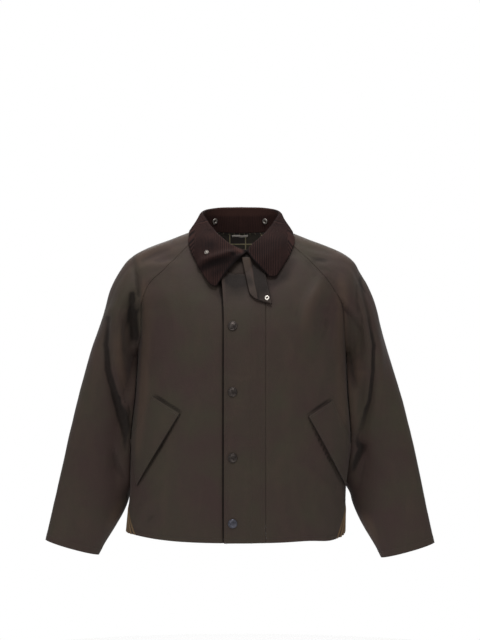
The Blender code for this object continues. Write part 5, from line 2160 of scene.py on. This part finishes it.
@dataclass
class NeckLining:
    """The upper back's lining and the hanger tape in front of it."""

    gap: float = 2.0
    cloth: float = 0.9
    depth: float = 92.0
    inset: int = 16
    check_shift: Span = (22.0, 10.0)
    tape_size: tuple[float, float, float] = (34.0, 5.2, 0.5)
    tape_cut: Span = (0.034, 0.01)
    tape_height: float = 6.0

    def build(self, back: Shell, finishes: Finishes) -> None:
        """Builds both pieces from the back panel's own grid.

        Args:
            back: the draped back panel.
            finishes: the jacket's finishes.
        """
        rows = int(np.searchsorted(gaps(back.points[::-1]).mean(1).cumsum(), self.depth)) + 1
        points, normals = (grid[-rows:-1, self.inset : -self.inset] for grid in (back.points, back.normals))
        outer = points - normals * (self.gap + self.cloth)
        across, up = self.check_shift
        uv = np.stack([outer[..., 0] + across, outer[..., 2] + up], axis=-1) * MM
        piece = wall("neck_lining_cloth", outer, points - normals * self.gap, (finishes.lining,), uv=uv)
        declare(piece, "check_lining", "neck_lining")
        middle = outer[:, outer.shape[1] // 2]
        row = int(np.argmin(np.abs(middle[:, 2] - self.tape_height)))
        self.build_tape(middle[row], unit(normals[row, normals.shape[1] // 2]), finishes)

    def build_tape(self, centre: Array, lean: Array, finishes: Finishes) -> None:
        """Builds the hanger tape.

        Args:
            centre: place on the lining behind its middle.
            lean: direction from the inside of the neck to the lining.
            finishes: the jacket's finishes.
        """
        wide, tall, thick = self.tape_size
        rise = unit(np.cross(lean, np.array([1.0, 0, 0])))
        across, turn = np.meshgrid(np.linspace(-0.5, 0.5, 25), np.linspace(0.0, 1.9 * math.pi, 17))
        up, out = np.cos(turn) * tall / 2, 0.75 + 0.6 * np.sin(turn)
        wave = 0.7 * np.sin(across * 9.0) + 0.3 * np.sin(across * 21.0)
        bow = 0.5 + 1.0 * (1 - (2 * np.abs(across)) ** 2)
        face = centre + np.stack([across * wide, 0 * across, 0 * across], -1) + (up + wave)[..., None] * rise
        tape = face - lean * (out + bow)[..., None]
        away = -lean * np.sin(turn)[..., None] + rise * np.cos(turn)[..., None]
        piece = wall("hanger_tape_cloth", tape, tape - away * thick, (finishes.tape,))
        declare(piece, "cotton_tape", "hanger_tape")


@dataclass
class Fasteners:
    """Press studs and ring studs, each turned from a profile of radii and heights on its solid's place."""

    steps: int = 48
    cap: tuple[Span, ...] = (
        (0, 0), (9.2, 0), (9.6, 0.35), (9.6, 1.1), (9.3, 1.8), (8.8, 2.25), (8.2, 2.35), (7.7, 2.1),
        (7.3, 1.85), (6.9, 1.95), (6.3, 2.3), (5.3, 2.7), (4.0, 3.02), (2.6, 3.2), (1.3, 3.28), (0, 3.3),
    )
    ring: tuple[Span, ...] = (
        (2.0, 0.2), (2.3, 0), (6.1, 0), (6.5, 0.4), (6.4, 1.0), (5.8, 1.55), (4.9, 1.8), (3.8, 1.75),
        (2.8, 1.4), (2.1, 0.9),
    )

    def turned(self, node: str, kind: str, profile: Sequence[Span], material: Material, slot: str) -> None:
        """Turns a profile on the axis of a solid and lets it stand for that solid.

        Args:
            node: the solid.
            kind: end of the piece's name.
            profile: radius and height pairs; a closed ring where it starts off the axis.
            material: its finish.
            slot: the record's material slot.
        """
        place, direction = self.axis(node)
        frame = Vector(direction).to_track_quat("Z", "Y").to_matrix()
        build = bmesh.new()
        rings = []
        for radius, height in profile:
            ring = []
            for k in range(1 if radius == 0 else self.steps):
                turn = 2 * math.pi * k / self.steps
                local = Vector((radius * math.cos(turn), radius * math.sin(turn), height)) * MM
                ring.append(build.verts.new(Vector(place) + frame @ local))
            rings.append(ring)
        closing = rings[:1] if profile[0][0] > 0 else []
        for low, high in zip(rings, rings[1:] + closing):
            for k in range(self.steps):
                ends = (low, k), (low, k + 1), (high, k + 1), (high, k)
                build.faces.new(list(dict.fromkeys(ring[at % len(ring)] for ring, at in ends)))
        bmesh.ops.recalc_face_normals(build, faces=build.faces)
        mesh = bpy.data.meshes.new(f"{node}_{kind}")
        build.to_mesh(mesh)
        build.free()
        mesh.materials.append(material)
        mesh.shade_smooth()
        mesh.set_sharp_from_angle(angle=math.radians(55))
        declare(placed(mesh.name, mesh), slot, node)

    def axis(self, node: str) -> tuple[Array, Array]:
        """Foot and direction of a turned solid, from the flat disc that it stands on.

        Args:
            node: the solid.

        Returns:
            The foot and the direction.
        """
        mesh = bpy.data.objects[node].data
        area: dict[tuple[float, ...], float] = {}
        for face in mesh.polygons:
            key = tuple(round(v, 2) for v in face.normal)
            area[key] = area.get(key, 0.0) + face.area
        best = max(area, key=lambda key: area[key] - 10.0 * max(0.0, -key[1]))
        direction = -unit(np.array(best, float))
        points = np.array([v.co for v in mesh.vertices])
        along = points @ direction
        flat = points - np.outer(along, direction)
        return (flat.max(0) + flat.min(0)) / 2 + direction * along.min(), direction

    def build(self, finishes: Finishes) -> None:
        """Builds all studs.

        Args:
            finishes: the jacket's finishes.
        """
        for number in range(1, 5):
            # the lowest press stud gets a darker, bluer metal than the other three
            metal = finishes.gunmetal if number == 4 else finishes.antique
            self.turned(f"press_stud_{number}", "cap", self.cap, metal, "antique_metal")
        small = [(radius / 2, height) for radius, height in self.cap]
        self.turned("collar_stud", "cap", small, finishes.dull, "nickel")
        narrow = [(radius * 10 / 13 if radius > 2.4 else radius, height) for radius, height in self.ring]
        self.turned("tab_stud", "ring", narrow, finishes.nickel, "nickel")
        for side in Side:
            self.turned(f"hood_stud_{side.word}", "ring", self.ring, finishes.dull, "antique_metal")


@dataclass
class Studio:
    """Camera, plain pale floor and soft lights."""

    distance: float = 3.0
    eye: float = -0.174
    lens: float = 80.36
    sensor: float = 36.0
    floor: float = -1.25
    ambient: float = 0.4
    reach: float = 1.9
    aim: tuple[float, float, float] = (0.0, 0.0, -0.3)

    def build(self) -> None:
        """Adds everything that isn't the jacket."""
        scene = bpy.context.scene
        scene.view_settings.view_transform = "Standard"
        camera = placed("camera", bpy.data.cameras.new("camera"))
        camera.data.lens, camera.data.sensor_width = self.lens, self.sensor
        camera.location = (0.0, -self.distance, self.eye)
        camera.rotation_euler = (math.radians(90.0), 0.0, 0.0)
        scene.camera = camera
        for name, place, size, power in (
            ("key", (0.3, -1.9, 2.6), 1.3, 66.0),
            ("fill", (-1.8, -2.6, 0.9), 2.2, 20.0),
            ("top", (0.0, 0.3, 2.4), 1.6, 40.0),
            ("rear", (0.0, 2.6, 1.6), 2.4, 30.0),
        ):
            lamp = placed(name, bpy.data.lights.new(name, "AREA"))
            lamp.data.size, lamp.data.energy = size, power
            lamp.location = place
            lamp.rotation_euler = (Vector(self.aim) - Vector(place)).to_track_quat("-Z", "Y").to_euler()
        self.build_world()
        mesh = bpy.data.meshes.new("floor")
        turns = np.linspace(0.0, 2 * math.pi, 97)[:-1]
        rim = [(self.reach * math.cos(turn), self.reach * math.sin(turn), self.floor) for turn in turns]
        mesh.from_pydata(rim, [], [tuple(range(len(rim)))])
        mesh.materials.append(Graph("pale_floor").set(Base_Color=(0.97, 0.97, 0.97, 1.0), Roughness=0.9))
        placed("floor", mesh)

    def build_world(self) -> None:
        """Adds a white surround that lights the jacket more softly than it shows."""
        world = bpy.data.worlds.new("studio")
        world.use_nodes = True
        nodes, links = world.node_tree.nodes, world.node_tree.links
        seen, soft = nodes["Background"], nodes.new("ShaderNodeBackground")
        for shader, strength in ((seen, 1.0), (soft, self.ambient)):
            shader.inputs[0].default_value = (1.0, 1.0, 1.0, 1.0)
            shader.inputs[1].default_value = strength
        path, either = nodes.new("ShaderNodeLightPath"), nodes.new("ShaderNodeMixShader")
        outputs = path.outputs["Is Camera Ray"], soft.outputs[0], seen.outputs[0]
        for output, socket in zip(outputs, either.inputs):
            links.new(output, socket)
        links.new(either.outputs[0], nodes["World Output"].inputs[0])
        bpy.context.scene.world = world


def main() -> None:
    """Builds the jacket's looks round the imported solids."""
    logging.basicConfig(level=logging.INFO, format="%(name)s %(message)s")
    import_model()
    finishes, stitcher, body = Finishes(), Stitcher(), BodyForm()
    tailor = Tailor(Drape())
    shell = JacketShell(body, SleeveForm(), tailor)
    shell.cut()
    collar = Collar(shell, tailor)
    collar.build(finishes)
    NeckLining().build(shell.shells["back_panel"], finishes)
    shell.sew(finishes, stitcher)
    lines = []
    for side, corners in (
        (Side.RIGHT, ((120, -363), (176, -329), (211, -516), (226, -425))),
        (Side.LEFT, ((137, -369), (187, -337), (217, -519), (229, -432))),
    ):
        lines += PocketFlap(side, corners).build(body, tailor, finishes)
    lines += ThroatTab().build(collar, tailor, finishes)
    stitcher.run("trim_stitching", lines, finishes.thread)
    Fasteners().build(finishes)
    Studio().build()


if __name__ == "__main__":
    main()
